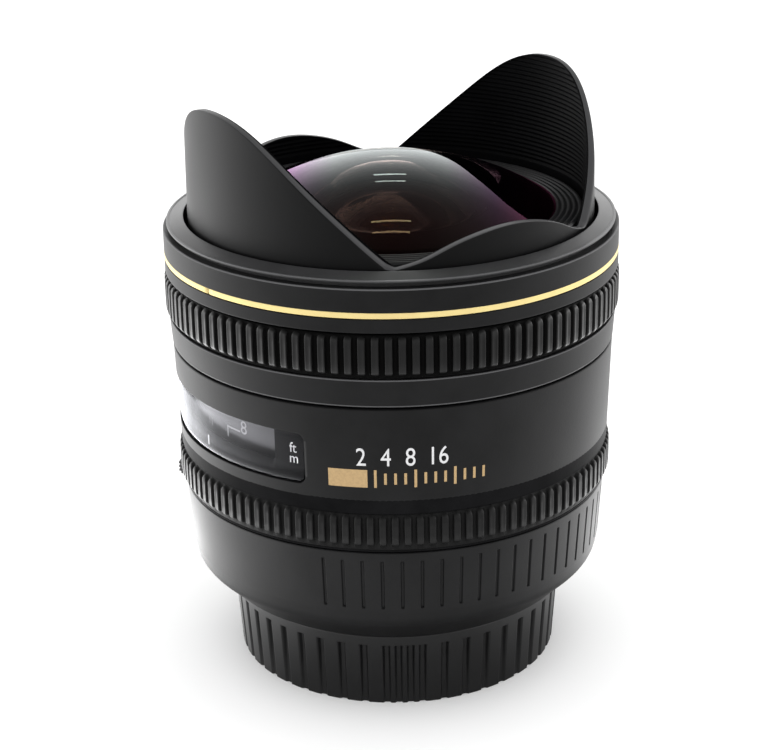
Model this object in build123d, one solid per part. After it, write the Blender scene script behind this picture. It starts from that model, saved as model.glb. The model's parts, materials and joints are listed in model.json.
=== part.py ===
from build123d import *
import math
import os

# Fisheye lens standing on its rear cap. Millimetres, +Z along the optical axis towards the front.
# The origin is on the axis, at the bottom of the rear cap. -Y is the side with the distance window.

# One overrun serves every cut, and one running clearance every pair that turns or slides
overrun = 1.0
running_fit = 0.08

# Rear cap
cap_height = 12.95
cap_taper = 0.9
cap_lug_gap = 0.8
cap_wall = 2.2
cap_floor = 1.6
cap_groove_height = 11.0
cap_groove_width = 0.75
cap_groove_depth = 0.8
cap_groove_count = 42
cap_index_angle = -33.7
cap_index_groove_count = 2
cap_index_step_angle = 4.35
cap_tab_thickness = 1.5
cap_tab_angle = 46.0
cap_tab_drop = 0.15
cap_seat_gap = 0.25

# Bayonet mount ring
flange_step = 0.4
flange_lip = 0.55
mount_spigot_wall = 0.7
mount_spigot_height = 1.75
throat_radius = 21.5
throat_wall = 1.8
throat_depth = 3.9
lug_reach = 2.1
lug_thickness = 1.3
lug_angle = 54.0
lug_count = 3
mount_screw_count = 4
mount_screw_first_angle = 45.0
mount_screw_radius = 0.6
mount_screw_head_radius = 1.2
mount_screw_length = 1.1

# Contacts, baffle and filter holder inside the mount
contact_block_depth = 2.4
contact_block_height = 3.2
contact_block_sweep_angle = 58.0
contact_block_angle = -90.0
contact_pin_count = 8
contact_pin_step_angle = 6.4
contact_pin_radius = 0.55
contact_pin_height = 0.4
baffle_thickness = 1.2
baffle_window_length = 27.0
baffle_window_height = 20.0
filter_holder_thickness = 0.8
filter_holder_rim = 3.0
filter_holder_window_length = 24.0
filter_holder_window_height = 17.0

# Rear barrel
rear_edge_step = 1.2
rear_bevel_height = 4.65
rear_knee_step = 0.5
rear_knee_height = 2.6
rear_taper = 0.7
rear_wall_height = 10.75
rear_top_step = 0.4
rear_wall = 1.5
rear_floor_thickness = 1.75
rear_groove_width = 0.4
rear_groove_depth = 0.3
rear_groove_height = 8.4
rear_groove_step_angle = 5.1
rear_groove_first_angle = -52.6
rear_groove_count = 50
board_boss_radius = 2.0
board_boss_height = 4.6
board_boss_place_radius = 28.0
board_boss_count = 3

# Circuit board
board_thickness = 1.2
board_inner_radius = 24.4
board_edge_gap = 0.4
chip_height = 1.0
chip_length = 5.0
chip_width = 4.0
chip_count = 5
chip_first_angle = 18.0

# Focus mode switch
switch_angle = -134.0
switch_plate_sweep_angle = 17.0
switch_pocket_spare_angle = 1.0
switch_plate_height = 7.4
switch_plate_thickness = 1.4
switch_plate_top_drop = 0.5
switch_travel = 2.4
switch_knob_width = 4.4
switch_knob_height = 2.7
switch_knob_reach = 2.3
switch_ridge_height = 0.35
switch_ridge_pitch = 0.7
switch_ridge_count = 3
switch_shank_width = 1.6
switch_shank_height = 1.6
switch_clip_thickness = 0.6
switch_gap = 0.12
switch_end_margin = 0.36

# Main barrel and the fixed rubber band round its lower end
seam = 0.3
main_lip_height = 0.35
main_lip_step = 0.1
grip_seat_depth = 0.8
lower_grip_height = 6.2
lower_grip_wall = 0.55
lower_grip_rib_count = 117
lower_grip_lip = 0.9
main_taper = 0.6
main_step = 0.7
main_wall_height = 17.8
main_edge_chamfer = 0.25
main_spigot_height = 2.1
main_spigot_wall = 1.4
barrel_joint_step = 0.16
shelf_thickness = 1.4

# Distance window
window_angle = -90.0
window_recess_sweep_angle = 67.6
window_pane_sweep_angle = 67.0
window_bottom_rise = 4.3
window_height = 8.6
window_corner_radius = 1.3
window_edge_gap = 0.2
window_opening_sweep_angle = 48.6
window_opening_rise = 2.9
window_opening_height = 5.0
window_opening_margin = 0.4
window_opening_spare_angle = 0.8
window_ledge_wall = 0.75
window_mask_thickness = 0.25
window_pane_thickness = 0.85

# Guide sleeve, cam ring, drive sleeve, scale drum and inner barrel, from the axis outwards
optics_radius = 28.92
guide_wall = 1.4
cam_wall = 0.82
cam_to_drive_gap = 0.9
drive_wall = 1.0
drive_to_drum_gap = 0.3
drum_wall = 0.5
drum_to_barrel_gap = 0.45
inner_barrel_gap = 0.4
inner_barrel_wall = 1.25
guide_flange_thickness = 1.4
drum_end_gap = 0.4

# Ring motor and the rollers of its half-speed drive
spring_height = 1.0
spring_wave_count = 6
spring_layer_count = 3
spring_pad_share = 0.25
stator_height = 5.0
stator_tooth_count = 36
stator_slot_width = 1.2
stator_slot_depth = 2.2
rotor_height = 2.0
motor_inner_gap = 1.2
motor_outer_gap = 0.25
roller_radius = 1.6
roller_length = 1.1
roller_bore_gap = 0.06
roller_side_gap = 0.15
roller_contact_gap = 0.05
roller_count = 3
roller_axle_radius = 0.5
cage_thickness = 1.3
cage_pocket_gap = 0.3
follower_count = 3
follower_angle = 30.0

# Helical drive of the optical unit: how the scale turns and the unit slides with the focus ring
focus_back_angle = 22.0
focus_on_angle = 68.0
scale_share = 0.5
unit_travel = 3.0
follower_radius = 1.5
follower_rise = 3.6
slot_clearance = 0.05
slot_end_margin = 0.6
steps_per_slot = 5

# Focus ring
focus_seam = 0.8
focus_band_height = 4.2
focus_band_step = 0.3
focus_band_taper = 0.3
focus_groove_height = 0.4
focus_groove_depth = 0.9
focus_rubber_height = 6.9
focus_rubber_wall = 0.7
focus_rib_count = 114
focus_key_sweep_angle = 8.0
focus_key_height = 2.2
focus_key_rise = 1.2
focus_key_reach = 1.2
focus_key_gap = 0.4
focus_slot_spare_angle = 2.0
rib_depth = 0.75
rib_top_share = 0.5
rib_base_share = 0.72

# Front barrel, gold ring and rim
focus_end_gap = 0.3
front_height = 7.0
front_wall = 1.6
front_chamfer = 0.35
front_seat_height = 4.2
rim_skirt_gap = 0.1
gold_rise = 2.36
gold_height = 0.92
gold_depth = 0.7
gold_shadow_height = 0.16
rim_groove = 0.8
rim_edge_height = 0.3
rim_top_height = 0.8
rim_step = 0.6
rim_skirt_wall = 1.2
hood_gap = 0.5

# Petal hood
hood_taper = 0.3
hood_wall = 1.4
hood_foot_reach = 1.2
hood_foot_height = 1.2
notch_drop = 0.4
tall_petal_height = 21.1
tall_petal_half_width = 27.2
short_petal_height = 5.4
short_petal_half_width = 18.6
tall_petal_shares = [(0.0, 1.0), (0.35, 0.885), (0.685, 0.515), (0.888, 0.205), (1.0, 0.0)]
short_petal_shares = [(0.0, 1.0), (0.31, 0.87), (0.56, 0.59), (0.75, 0.28), (1.0, 0.0)]
hood_groove_pitch = 2.1
hood_groove_height = 1.05
hood_groove_depth = 0.35
hood_groove_count = 8
hood_groove_rise = 2.0

# Front glass, its retaining ring and the cell that carries them
dome_rise = 8.2
front_glass_step = 1.72
ring_above_rim = 0.4
retaining_ring_height = 1.0
retaining_ridge_height = 0.3
retaining_ridge_count = 5
unit_head_step = 2.78
unit_head_gap = 0.4
cell_head_height = 3.9
cell_wall = 1.4
cell_shelf_width = 2.6
cell_shelf_drop = 1.7
cell_tube_length = 28.0
middle_wall = 1.5
middle_web_thickness = 1.4
middle_web_share = 0.8
middle_stop_width = 0.9

# Glass elements from the front: thickness on the axis, gap behind (none where cemented),
# front and back face radii (negative where hollow to the front), half diameter and land
glass_thicknesses = [2.6, 1.6, 1.6, 6.0, 4.5, 1.4, 1.2, 6.0, 1.2, 4.4, 1.0, 3.0]
glass_gaps = [12.0, 8.9, 0.0, 1.9, 0.0, 7.6, 0.0, 0.0, 1.0, 0.0, 0.8, 0.0]
glass_front_radii = [50.8, 40.0, 80.0, 14.0, 22.0, -18.0, -40.0, 12.0, -12.0, 25.0, -15.0, 40.0]
glass_back_radii = [18.0, 12.5, 14.0, -30.0, -18.0, 60.0, 12.0, -12.0, 50.0, -15.0, -40.0, -60.0]
glass_half_diameters = [optics_radius - front_glass_step, 15.0, 9.5, 9.5, 8.5, 8.5, 7.5, 7.5, 7.5,
                        8.0, 8.0, 9.0]
front_bowl_radius = 15.5
second_bowl_radius = 10.5

# Places in these lists of the elements that a cell's steps and seats follow
first_glass = 0
second_glass = 1
third_glass = 2
fourth_glass = 3
sixth_glass = 5
ninth_glass = 8
tenth_glass = 9
eleventh_glass = 10
last_glass = 11

# Iris: seven blades, each on its own level, turned by pins in the slots of a ring
blade_count = 7
blade_swing_angle = 28.0
iris_turn_angle = 16.0
blade_pivot_radius = 10.0
blade_inner_radius = 5.7
blade_outer_radius = 9.0
blade_sweep_angle = 118.0
blade_thickness = 0.14
blade_pitch = 0.26
blade_eye_radius = 0.95
drive_pin_radius = 12.2
drive_pin_lag_angle = 25.0
iris_pin_radius = 0.45
iris_pin_clearance = 0.06
slot_path_shares = [0.0, 0.5, 1.0]
iris_floor_thickness = 1.0
iris_opening_radius = 6.1
iris_wall = 1.2
iris_ring_inner_radius = 10.8
iris_ring_thickness = 0.9
iris_level_gap = 0.15
iris_cover_thickness = 1.0
iris_lip_width = 0.8

# Gear drive of the iris ring
gear_module = 0.4
ring_gear_teeth = 82
ring_gear_cut_teeth = 8
ring_gear_lead_teeth = 2
pinion_teeth = 12
gear_backlash = 0.1
gear_root_share = 1.25
gear_root_overlap_share = 0.25
ring_gear_tip_share = 0.8
gear_pressure_angle = 20.0
flank_shares = [0.0, 0.35, 0.7, 1.0]
pinion_angle = 150.0
pinion_shaft_radius = 0.5
pinion_shaft_reach = 1.0
pinion_bore_depth = 2.0
iris_motor_radius = 3.0
iris_motor_length = 9.8
ear_radius = 4.0
rear_cell_wall = 1.5
rear_cell_flange_radius = 13.0
rear_cell_flange_thickness = 1.0
rear_cell_tail = 0.8

# Heights that follow from the sizes above
flange_z = cap_height + cap_seat_gap
rear_edge_z = flange_z + flange_lip
rear_floor_z = rear_edge_z + rear_floor_thickness
bevel_top_z = rear_edge_z + rear_bevel_height
knee_z = bevel_top_z + rear_knee_height
rear_top_z = knee_z + rear_wall_height
main_bottom_z = rear_top_z + seam
grip_bottom_z = main_bottom_z + main_lip_height
grip_top_z = grip_bottom_z + lower_grip_height
main_top_z = grip_top_z + main_wall_height
focus_bottom_z = main_top_z + focus_seam
focus_band_z = focus_bottom_z + focus_band_height
focus_rubber_z = focus_band_z + focus_groove_height
focus_top_z = focus_rubber_z + focus_rubber_height
front_bottom_z = focus_top_z + focus_end_gap
front_top_z = front_bottom_z + front_height
rim_bottom_z = front_top_z + rim_groove
rim_edge_z = rim_bottom_z + rim_edge_height
rim_top_z = rim_edge_z + rim_top_height
hood_seat_z = front_bottom_z + (front_height - front_seat_height)
notch_z = rim_top_z - notch_drop
ring_top_z = rim_top_z + ring_above_rim
dome_z = rim_top_z + dome_rise
shelf_top_z = main_bottom_z
guide_top_z = hood_seat_z
stator_z = shelf_top_z + spring_height
rotor_z = stator_z + stator_height
roller_axis_z = rotor_z + rotor_height + roller_contact_gap + roller_radius
drive_bottom_z = roller_axis_z + roller_radius + roller_contact_gap
cage_bottom_z = roller_axis_z - cage_thickness / 2
drum_bottom_z = roller_axis_z + cage_thickness / 2
inner_barrel_z = main_top_z - seam - main_spigot_height
window_bottom_z = grip_top_z + window_bottom_rise
opening_bottom_z = window_bottom_z + window_opening_rise
throat_end_z = flange_z - throat_depth
follower_height = main_top_z + follower_rise
switch_top_z = rear_top_z - switch_plate_top_drop
switch_bottom_z = switch_top_z - switch_plate_height
switch_knob_z = switch_top_z - switch_end_margin - switch_knob_height
head_top_z = ring_top_z - retaining_ring_height
head_bottom_z = head_top_z - cell_head_height

# Radii that follow, from the axis outwards: the mount and the cap on it
throat_outer_radius = throat_radius + throat_wall
lug_radius = throat_outer_radius + lug_reach
mount_spigot_radius = throat_outer_radius + mount_spigot_wall
cap_inner_radius = lug_radius + cap_lug_gap
cap_top_radius = cap_inner_radius + cap_wall
cap_bottom_radius = cap_top_radius - cap_taper
flange_radius = cap_top_radius + flange_step
mount_screw_place_radius = (mount_spigot_radius + flange_radius) / 2
rear_edge_radius = flange_radius + rear_edge_step

# The sleeves inside the barrels
guide_inner = optics_radius + running_fit
guide_outer = guide_inner + guide_wall
cam_inner = guide_outer + running_fit
cam_outer = cam_inner + cam_wall
drive_inner = cam_outer + cam_to_drive_gap
drive_outer = drive_inner + drive_wall
drum_inner = drive_outer + drive_to_drum_gap
drum_outer = drum_inner + drum_wall
main_inner = drum_outer + drum_to_barrel_gap
barrel_joint_radius = main_inner - barrel_joint_step
inner_barrel_inner = drive_outer + inner_barrel_gap
inner_barrel_outer = inner_barrel_inner + inner_barrel_wall
focus_inner = inner_barrel_outer + running_fit
window_mask_radius = main_inner + window_ledge_wall

# The hood round the optical unit, and the shells outside it
unit_head_radius = optics_radius + unit_head_step
hood_inner_radius = unit_head_radius + unit_head_gap
hood_outer_radius = hood_inner_radius + hood_wall
hood_tip_radius = hood_outer_radius - hood_taper
hood_foot_radius = hood_outer_radius + hood_foot_reach
rim_inner_radius = hood_outer_radius + hood_gap
front_seat_radius = hood_foot_radius + rim_skirt_gap + rim_skirt_wall
front_radius = front_seat_radius + front_wall
rim_outer_radius = front_radius - rim_step
focus_band_radius = front_radius - focus_band_step
focus_bottom_radius = focus_band_radius - focus_band_taper
focus_groove_radius = focus_band_radius - focus_groove_depth
focus_rubber_radius = focus_groove_radius + focus_rubber_wall + rib_depth
main_top_radius = front_radius - main_step
main_bottom_radius = main_top_radius - main_taper
main_lip_radius = main_bottom_radius - main_lip_step
grip_seat_radius = main_bottom_radius - grip_seat_depth
lower_grip_radius = grip_seat_radius + lower_grip_wall + rib_depth
rear_top_radius = main_bottom_radius - rear_top_step
rear_knee_radius = rear_top_radius - rear_taper
rear_bevel_radius = rear_knee_radius - rear_knee_step


def turned(points):
    """A ring turned round the axis from the outline in (radius, height) points."""
    outline = make_face(Polyline(*points, close=True))
    return revolve(Plane.XZ * outline, Axis.Z)


def tube(inner, outer, low, high):
    """A plain tube round the axis."""
    return turned([(inner, low), (outer, low), (outer, high), (inner, high)])


def disc(radius, low, high):
    """A solid cylinder on the axis."""
    return Pos(0, 0, low) * Cylinder(radius, high - low, align=(Align.CENTER, Align.CENTER, Align.MIN))


def sector(inner, outer, low, high, middle, span):
    """The part of a tube that spans an angle about its middle."""
    outline = make_face(Polyline((inner, low), (outer, low), (outer, high), (inner, high), close=True))
    return Rot(0, 0, middle - span / 2) * revolve(Plane.XZ * outline, Axis.Z, span)


def post(radius, low, high, circle, angle):
    """A cylinder parallel to the axis, standing on a circle round it."""
    return Rot(0, 0, angle) * Pos(circle, 0, 0) * disc(radius, low, high)


def radial_pin(radius, start, end, height, angle):
    """A cylinder that points away from the axis."""
    pin = Cylinder(radius, end - start, align=(Align.CENTER, Align.CENTER, Align.MIN))
    return Rot(0, 0, angle) * Pos(start, 0, height) * Rot(0, 90, 0) * pin


def block(start, end, width, low, high, angle):
    """A box that points away from the axis, from one radius to another."""
    body = Box(end - start, width, high - low, align=(Align.MIN, Align.CENTER, Align.MIN))
    return Rot(0, 0, angle) * Pos(start, 0, low) * body


def even_angles(count, first=0.0):
    """Angles evenly spaced round a full turn."""
    return [first + 360 * index / count for index in range(count)]


def polar(radius, angle):
    """The point at a radius and an angle in degrees."""
    return radius * math.cos(math.radians(angle)), radius * math.sin(math.radians(angle))


def ribbed_band(inner, outer, low, high, count):
    """A rubber band with straight ribs: a toothed outline, drawn out along the axis."""
    pitch = 360 / count
    root = outer - rib_depth
    outline = []
    for index in range(count):
        middle = index * pitch
        for radius, share in ((root, -rib_base_share), (outer, -rib_top_share),
                              (outer, rib_top_share), (root, rib_base_share)):
            outline.append(polar(radius, middle + share * pitch / 2))
    face = make_face(Polyline(*outline, close=True)) - Circle(inner)
    return Pos(0, 0, low) * extrude(face, high - low)


def lug_angles():
    """The middles of the bayonet lugs."""
    return even_angles(lug_count, 90)


def rear_cap():
    """A cup with a fluted wall, and tabs that hook behind the bayonet lugs."""
    outer = [(0, 0), (cap_bottom_radius, 0), (cap_top_radius, cap_height), (cap_inner_radius, cap_height),
             (cap_inner_radius, cap_floor), (0, cap_floor)]
    cup = turned(outer)
    pitch = 360 / cap_groove_count
    grooves = even_angles(cap_groove_count, cap_index_angle + pitch / 2)
    for index in range(cap_index_groove_count):
        grooves.append(cap_index_angle + (index - (cap_index_groove_count - 1) / 2) * cap_index_step_angle)
    cutters = [block(cap_bottom_radius - cap_groove_depth, cap_top_radius + overrun, cap_groove_width,
                     -overrun, cap_groove_height, angle) for angle in grooves]
    cup -= cutters
    tab_top = flange_z - cap_seat_gap - cap_tab_drop
    for angle in lug_angles():
        cup += sector(throat_outer_radius + cap_seat_gap, cap_inner_radius, tab_top - cap_tab_thickness,
                      tab_top, angle, cap_tab_angle)
    return cup


def mount_bayonet():
    """The metal mount: a flange with a throat tube and three lugs near its end."""
    ring = turned([(throat_radius, throat_end_z), (throat_outer_radius, throat_end_z),
                   (throat_outer_radius, flange_z), (flange_radius, flange_z), (flange_radius, rear_edge_z),
                   (mount_spigot_radius, rear_edge_z),
                   (mount_spigot_radius, rear_edge_z + mount_spigot_height),
                   (throat_radius, rear_edge_z + mount_spigot_height)])
    for angle in lug_angles():
        ring += sector(throat_outer_radius, lug_radius, throat_end_z, throat_end_z + lug_thickness,
                       angle, lug_angle)
    for angle in even_angles(mount_screw_count, mount_screw_first_angle):
        ring -= post(mount_screw_head_radius, flange_z - overrun, rear_edge_z,
                     mount_screw_place_radius, angle)
    return ring


def mount_screws():
    """The screws that hold the mount to the rear barrel."""
    screws = []
    for angle in even_angles(mount_screw_count, mount_screw_first_angle):
        head = post(mount_screw_head_radius, flange_z, rear_edge_z, mount_screw_place_radius,
                    angle)
        shank = post(mount_screw_radius, rear_edge_z, rear_edge_z + mount_screw_length,
                     mount_screw_place_radius, angle)
        screws.append(head + shank)
    return Compound(screws)


def contact_block():
    """The plastic arc in the throat that carries the contacts."""
    return sector(throat_radius - contact_block_depth, throat_radius, throat_end_z,
                  throat_end_z + contact_block_height, contact_block_angle, contact_block_sweep_angle)


def contact_pins():
    """The contacts, side by side on the block's face."""
    circle = throat_radius - contact_block_depth / 2
    pins = []
    for index in range(contact_pin_count):
        angle = contact_block_angle + (index - (contact_pin_count - 1) / 2) * contact_pin_step_angle
        pins.append(post(contact_pin_radius, throat_end_z - contact_pin_height, throat_end_z, circle, angle))
    return Compound(pins)


def rear_baffle():
    """A plate across the throat with a window for the picture."""
    plate = disc(throat_radius, rear_edge_z, rear_edge_z + baffle_thickness)
    window = Box(baffle_window_length, baffle_window_height, (baffle_thickness + overrun) * 2)
    return plate - Pos(0, 0, rear_edge_z) * window


def filter_holder():
    """The frame behind the baffle that takes a cut sheet filter."""
    low = rear_edge_z - filter_holder_thickness
    box = Box(filter_holder_window_length + filter_holder_rim * 2,
              filter_holder_window_height + filter_holder_rim * 2, filter_holder_thickness,
              align=(Align.CENTER, Align.CENTER, Align.MIN))
    window = Box(filter_holder_window_length, filter_holder_window_height,
                 (filter_holder_thickness + overrun) * 2)
    return Pos(0, 0, low) * (box - window)


def rear_barrel():
    """The rear shell: a bevel down to the mount, fine grooves, and bosses for the board."""
    wall_inner = rear_bevel_radius - rear_wall
    seat_z = rear_top_z - main_spigot_height
    shell = turned([(mount_spigot_radius, rear_edge_z), (rear_edge_radius, rear_edge_z),
                    (rear_bevel_radius, bevel_top_z), (rear_knee_radius, knee_z),
                    (rear_top_radius, rear_top_z), (barrel_joint_radius, rear_top_z),
                    (barrel_joint_radius, seat_z), (wall_inner, seat_z), (wall_inner, bevel_top_z),
                    (rear_edge_radius - rear_wall / 2, rear_floor_z), (mount_spigot_radius, rear_floor_z)])
    for angle in even_angles(board_boss_count):
        shell += post(board_boss_radius, rear_floor_z, rear_floor_z + board_boss_height,
                      board_boss_place_radius, angle)
    for angle in even_angles(mount_screw_count, mount_screw_first_angle):
        shell -= post(mount_screw_radius, rear_edge_z - overrun, rear_edge_z + mount_screw_length,
                      mount_screw_place_radius, angle)
    cutters = []
    for index in range(rear_groove_count):
        angle = rear_groove_first_angle + index * rear_groove_step_angle
        cutters.append(block(rear_knee_radius - rear_groove_depth, rear_top_radius + overrun,
                             rear_groove_width, knee_z, knee_z + rear_groove_height, angle))
    shell -= cutters
    shell -= switch_pocket()
    return shell


def switch_pocket():
    """The opening in the rear barrel's wall that the switch plate fills."""
    return sector(rear_bevel_radius - rear_wall - overrun, rear_top_radius + overrun, switch_bottom_z,
                  switch_top_z, switch_angle, switch_plate_sweep_angle)


def switch_plate():
    """The curved plate round the switch, with the slot that its shank slides in."""
    outer = rear_knee_radius + (rear_top_radius - rear_knee_radius) / 2
    plate = sector(outer - switch_plate_thickness, outer, switch_bottom_z, switch_top_z, switch_angle,
                   switch_plate_sweep_angle)
    middle = switch_knob_z + switch_knob_height / 2
    slot = block(outer - switch_plate_thickness - overrun, outer + overrun,
                 switch_shank_width + switch_gap * 2,
                 middle - switch_shank_height / 2 - switch_gap - switch_travel,
                 middle + switch_shank_height / 2 + switch_gap, switch_angle)
    return plate - slot


def switch_knob():
    """The sliding knob: a ridged head, a shank through the slot and a clip behind the plate."""
    outer = rear_knee_radius + (rear_top_radius - rear_knee_radius) / 2
    inner = outer - switch_plate_thickness
    middle = switch_knob_z + switch_knob_height / 2
    head = block(outer + switch_gap, outer + switch_knob_reach, switch_knob_width, switch_knob_z,
                 switch_knob_z + switch_knob_height, switch_angle)
    for index in range(switch_ridge_count):
        height = middle + (index - (switch_ridge_count - 1) / 2) * switch_ridge_pitch
        head += block(outer + switch_knob_reach, outer + switch_knob_reach + switch_ridge_height,
                      switch_knob_width, height - switch_ridge_height / 2,
                      height + switch_ridge_height / 2, switch_angle)
    shank = block(inner - switch_gap, outer + switch_gap, switch_shank_width,
                  middle - switch_shank_height / 2, middle + switch_shank_height / 2, switch_angle)
    clip_height = switch_shank_height + switch_clip_thickness * 2
    clip = block(inner - switch_gap - switch_clip_thickness, inner - switch_gap,
                 switch_shank_width + switch_clip_thickness * 2, middle - clip_height / 2,
                 middle + clip_height / 2, switch_angle)
    return head + shank + clip


def circuit_board():
    """The ring-shaped board on the rear barrel's bosses."""
    low = rear_floor_z + board_boss_height
    return tube(board_inner_radius, rear_bevel_radius - rear_wall - board_edge_gap, low,
                low + board_thickness)


def circuit_chips():
    """The chips on the board."""
    low = rear_floor_z + board_boss_height + board_thickness
    middle = (board_inner_radius + rear_bevel_radius - rear_wall) / 2
    start, end = middle - chip_width / 2, middle + chip_width / 2
    return Compound([block(start, end, chip_length, low, low + chip_height, angle)
                     for angle in even_angles(chip_count, chip_first_angle)])


def main_barrel():
    """The main shell, with the rubber band's seat, the window recess and the motor's shelf."""
    spigot_outer = barrel_joint_radius
    spigot_z = rear_top_z - main_spigot_height
    shell = turned([(spigot_outer - main_spigot_wall, spigot_z), (spigot_outer, spigot_z),
                    (spigot_outer, main_bottom_z), (main_lip_radius, main_bottom_z),
                    (main_lip_radius, grip_bottom_z), (grip_seat_radius, grip_bottom_z),
                    (grip_seat_radius, grip_top_z), (main_bottom_radius, grip_top_z),
                    (main_top_radius, main_top_z - main_edge_chamfer),
                    (main_top_radius - main_edge_chamfer, main_top_z), (main_inner, main_top_z),
                    (main_inner, shelf_top_z), (guide_inner, shelf_top_z),
                    (guide_inner, shelf_top_z - shelf_thickness),
                    (spigot_outer - main_spigot_wall, shelf_top_z - shelf_thickness)])
    shell -= sector(guide_outer, rear_top_radius, spigot_z - overrun, switch_top_z + switch_gap,
                    switch_angle, switch_plate_sweep_angle + switch_pocket_spare_angle)
    shell -= window_solid(window_mask_radius, main_top_radius + overrun, window_bottom_z,
                          window_bottom_z + window_height, window_recess_sweep_angle, window_corner_radius)
    shell -= window_solid(main_inner - overrun, window_mask_radius + overrun,
                          opening_bottom_z - window_opening_margin,
                          opening_bottom_z + window_opening_height + window_opening_margin,
                          window_opening_sweep_angle + window_opening_spare_angle, 0)
    return shell


def window_solid(inner, outer, low, high, span, corner):
    """A curved slab of the window's outline, with rounded corners where they are asked for."""
    slab = sector(inner, outer, low, high, window_angle, span)
    if corner > 0:
        slab = fillet(slab.edges().filter_by(GeomType.LINE).filter_by(Axis.Z, reverse=True), corner)
    return slab


def window_mask():
    """The thin mask behind the pane, open over the scale."""
    gap = window_edge_gap
    sheet = window_solid(window_mask_radius, window_mask_radius + window_mask_thickness,
                         window_bottom_z + gap, window_bottom_z + window_height - gap,
                         window_pane_sweep_angle, window_corner_radius)
    return sheet - window_solid(window_mask_radius - overrun, window_mask_radius + overrun, opening_bottom_z,
                                opening_bottom_z + window_opening_height, window_opening_sweep_angle, 0)


def window_pane():
    """The curved clear pane, flush with the barrel."""
    gap = window_edge_gap
    inner = window_mask_radius + window_mask_thickness
    return window_solid(inner, inner + window_pane_thickness, window_bottom_z + gap,
                        window_bottom_z + window_height - gap, window_pane_sweep_angle, window_corner_radius)


def lower_grip_rubber():
    """The fixed ribbed rubber band, with a plain lip below its ribs."""
    ribs = ribbed_band(grip_seat_radius, lower_grip_radius, grip_bottom_z + lower_grip_lip, grip_top_z,
                       lower_grip_rib_count)
    lip = tube(grip_seat_radius, lower_grip_radius - rib_depth / 2, grip_bottom_z,
               grip_bottom_z + lower_grip_lip)
    return ribs + lip


def guide_sleeve():
    """The fixed sleeve with a straight slot for each follower, and a flange at its top."""
    sleeve = turned([(guide_inner, shelf_top_z), (guide_outer, shelf_top_z),
                     (guide_outer, guide_top_z - guide_flange_thickness),
                     (inner_barrel_inner, guide_top_z - guide_flange_thickness),
                     (inner_barrel_inner, guide_top_z), (guide_inner, guide_top_z)])
    width = (follower_radius + slot_clearance) * 2
    turn = focus_back_angle + focus_on_angle
    low = follower_height - unit_travel * focus_back_angle / turn
    high = follower_height + unit_travel * focus_on_angle / turn
    for angle in even_angles(follower_count, follower_angle):
        sleeve -= block(guide_inner - overrun, guide_outer + overrun, width, low, high, angle)
        for height in (low, high):
            sleeve -= radial_pin(width / 2, guide_inner - overrun, guide_outer + overrun, height, angle)
    return sleeve


def helical_cutters(angle):
    """Cutters for a slot that climbs as it runs round: short ruled steps with a round hole at each end."""
    half = follower_radius + slot_clearance
    inner, outer = cam_inner - overrun, cam_outer + overrun
    turn = (focus_back_angle + focus_on_angle) * scale_share
    rise = unit_travel / turn
    first, last = -focus_on_angle * scale_share, focus_back_angle * scale_share
    sections = []
    for index in range(steps_per_slot + 1):
        place = first + (last - first) * index / steps_per_slot
        height = follower_height - place * rise
        outline = make_face(Polyline((inner, height - half), (outer, height - half), (outer, height + half),
                                     (inner, height + half), close=True))
        sections.append(Rot(0, 0, angle + place) * (Plane.XZ * outline))
    cutters = [loft([start, end], ruled=True) for start, end in zip(sections, sections[1:])]
    for place in (first, last):
        cutters.append(radial_pin(half, inner, outer, follower_height - place * rise, angle + place))
    return cutters


def cam_ring():
    """The ring that turns on the guide sleeve, with a helical slot for each follower."""
    plain = tube(cam_inner, cam_outer, cage_bottom_z, guide_top_z - guide_flange_thickness - slot_end_margin)
    ring = Rot(0, 0, follower_angle + 180 / follower_count) * plain
    for angle in even_angles(follower_count, follower_angle):
        for cutter in helical_cutters(angle):
            ring -= cutter
    return ring


def roller_middle():
    """The radius of a roller's middle, under the drive sleeve's wall."""
    return (drive_inner + drive_outer) / 2


def roller_cage():
    """The flat cage on the cam ring that holds the rollers and carries the scale drum."""
    cage = tube(cam_outer, drum_outer, cage_bottom_z, drum_bottom_z)
    middle = roller_middle()
    reach = roller_length / 2 + roller_side_gap
    for angle in even_angles(roller_count, -follower_angle):
        cage -= block(middle - reach, middle + reach, (roller_radius + cage_pocket_gap) * 2,
                      cage_bottom_z - overrun, drum_bottom_z + overrun, angle)
        cage -= radial_pin(roller_axle_radius, cam_outer, drum_inner, roller_axis_z, angle)
    return cage


def roller_axles():
    """The axles of the rollers, held in the cage."""
    return Compound([radial_pin(roller_axle_radius, cam_outer, drum_inner, roller_axis_z, angle)
                     for angle in even_angles(roller_count, -follower_angle)])


def roller(angle):
    """A roller between the motor's rotor and the drive sleeve."""
    middle = roller_middle()
    start, end = middle - roller_length / 2, middle + roller_length / 2
    wheel = radial_pin(roller_radius, start, end, roller_axis_z, angle)
    return wheel - radial_pin(roller_axle_radius + roller_bore_gap, start - overrun, end + overrun,
                              roller_axis_z, angle)


def distance_scale_drum():
    """The thin drum with the distance figures, on the cage's outer edge."""
    return tube(drum_inner, drum_outer, drum_bottom_z, inner_barrel_z - drum_end_gap)


def focus_drive_sleeve():
    """The sleeve inside the drum that runs on the rollers and is keyed to the focus ring."""
    key_z = focus_bottom_z + focus_key_rise
    top = key_z + focus_key_height + focus_key_gap
    sleeve = tube(drive_inner, drive_outer, drive_bottom_z, top)
    for angle in key_angles():
        sleeve += sector(drive_outer, focus_inner + focus_key_reach, key_z, key_z + focus_key_height,
                         angle, focus_key_sweep_angle)
    return sleeve


def key_angles():
    """Where the keys stand at rest."""
    return even_angles(follower_count, follower_angle)


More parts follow.
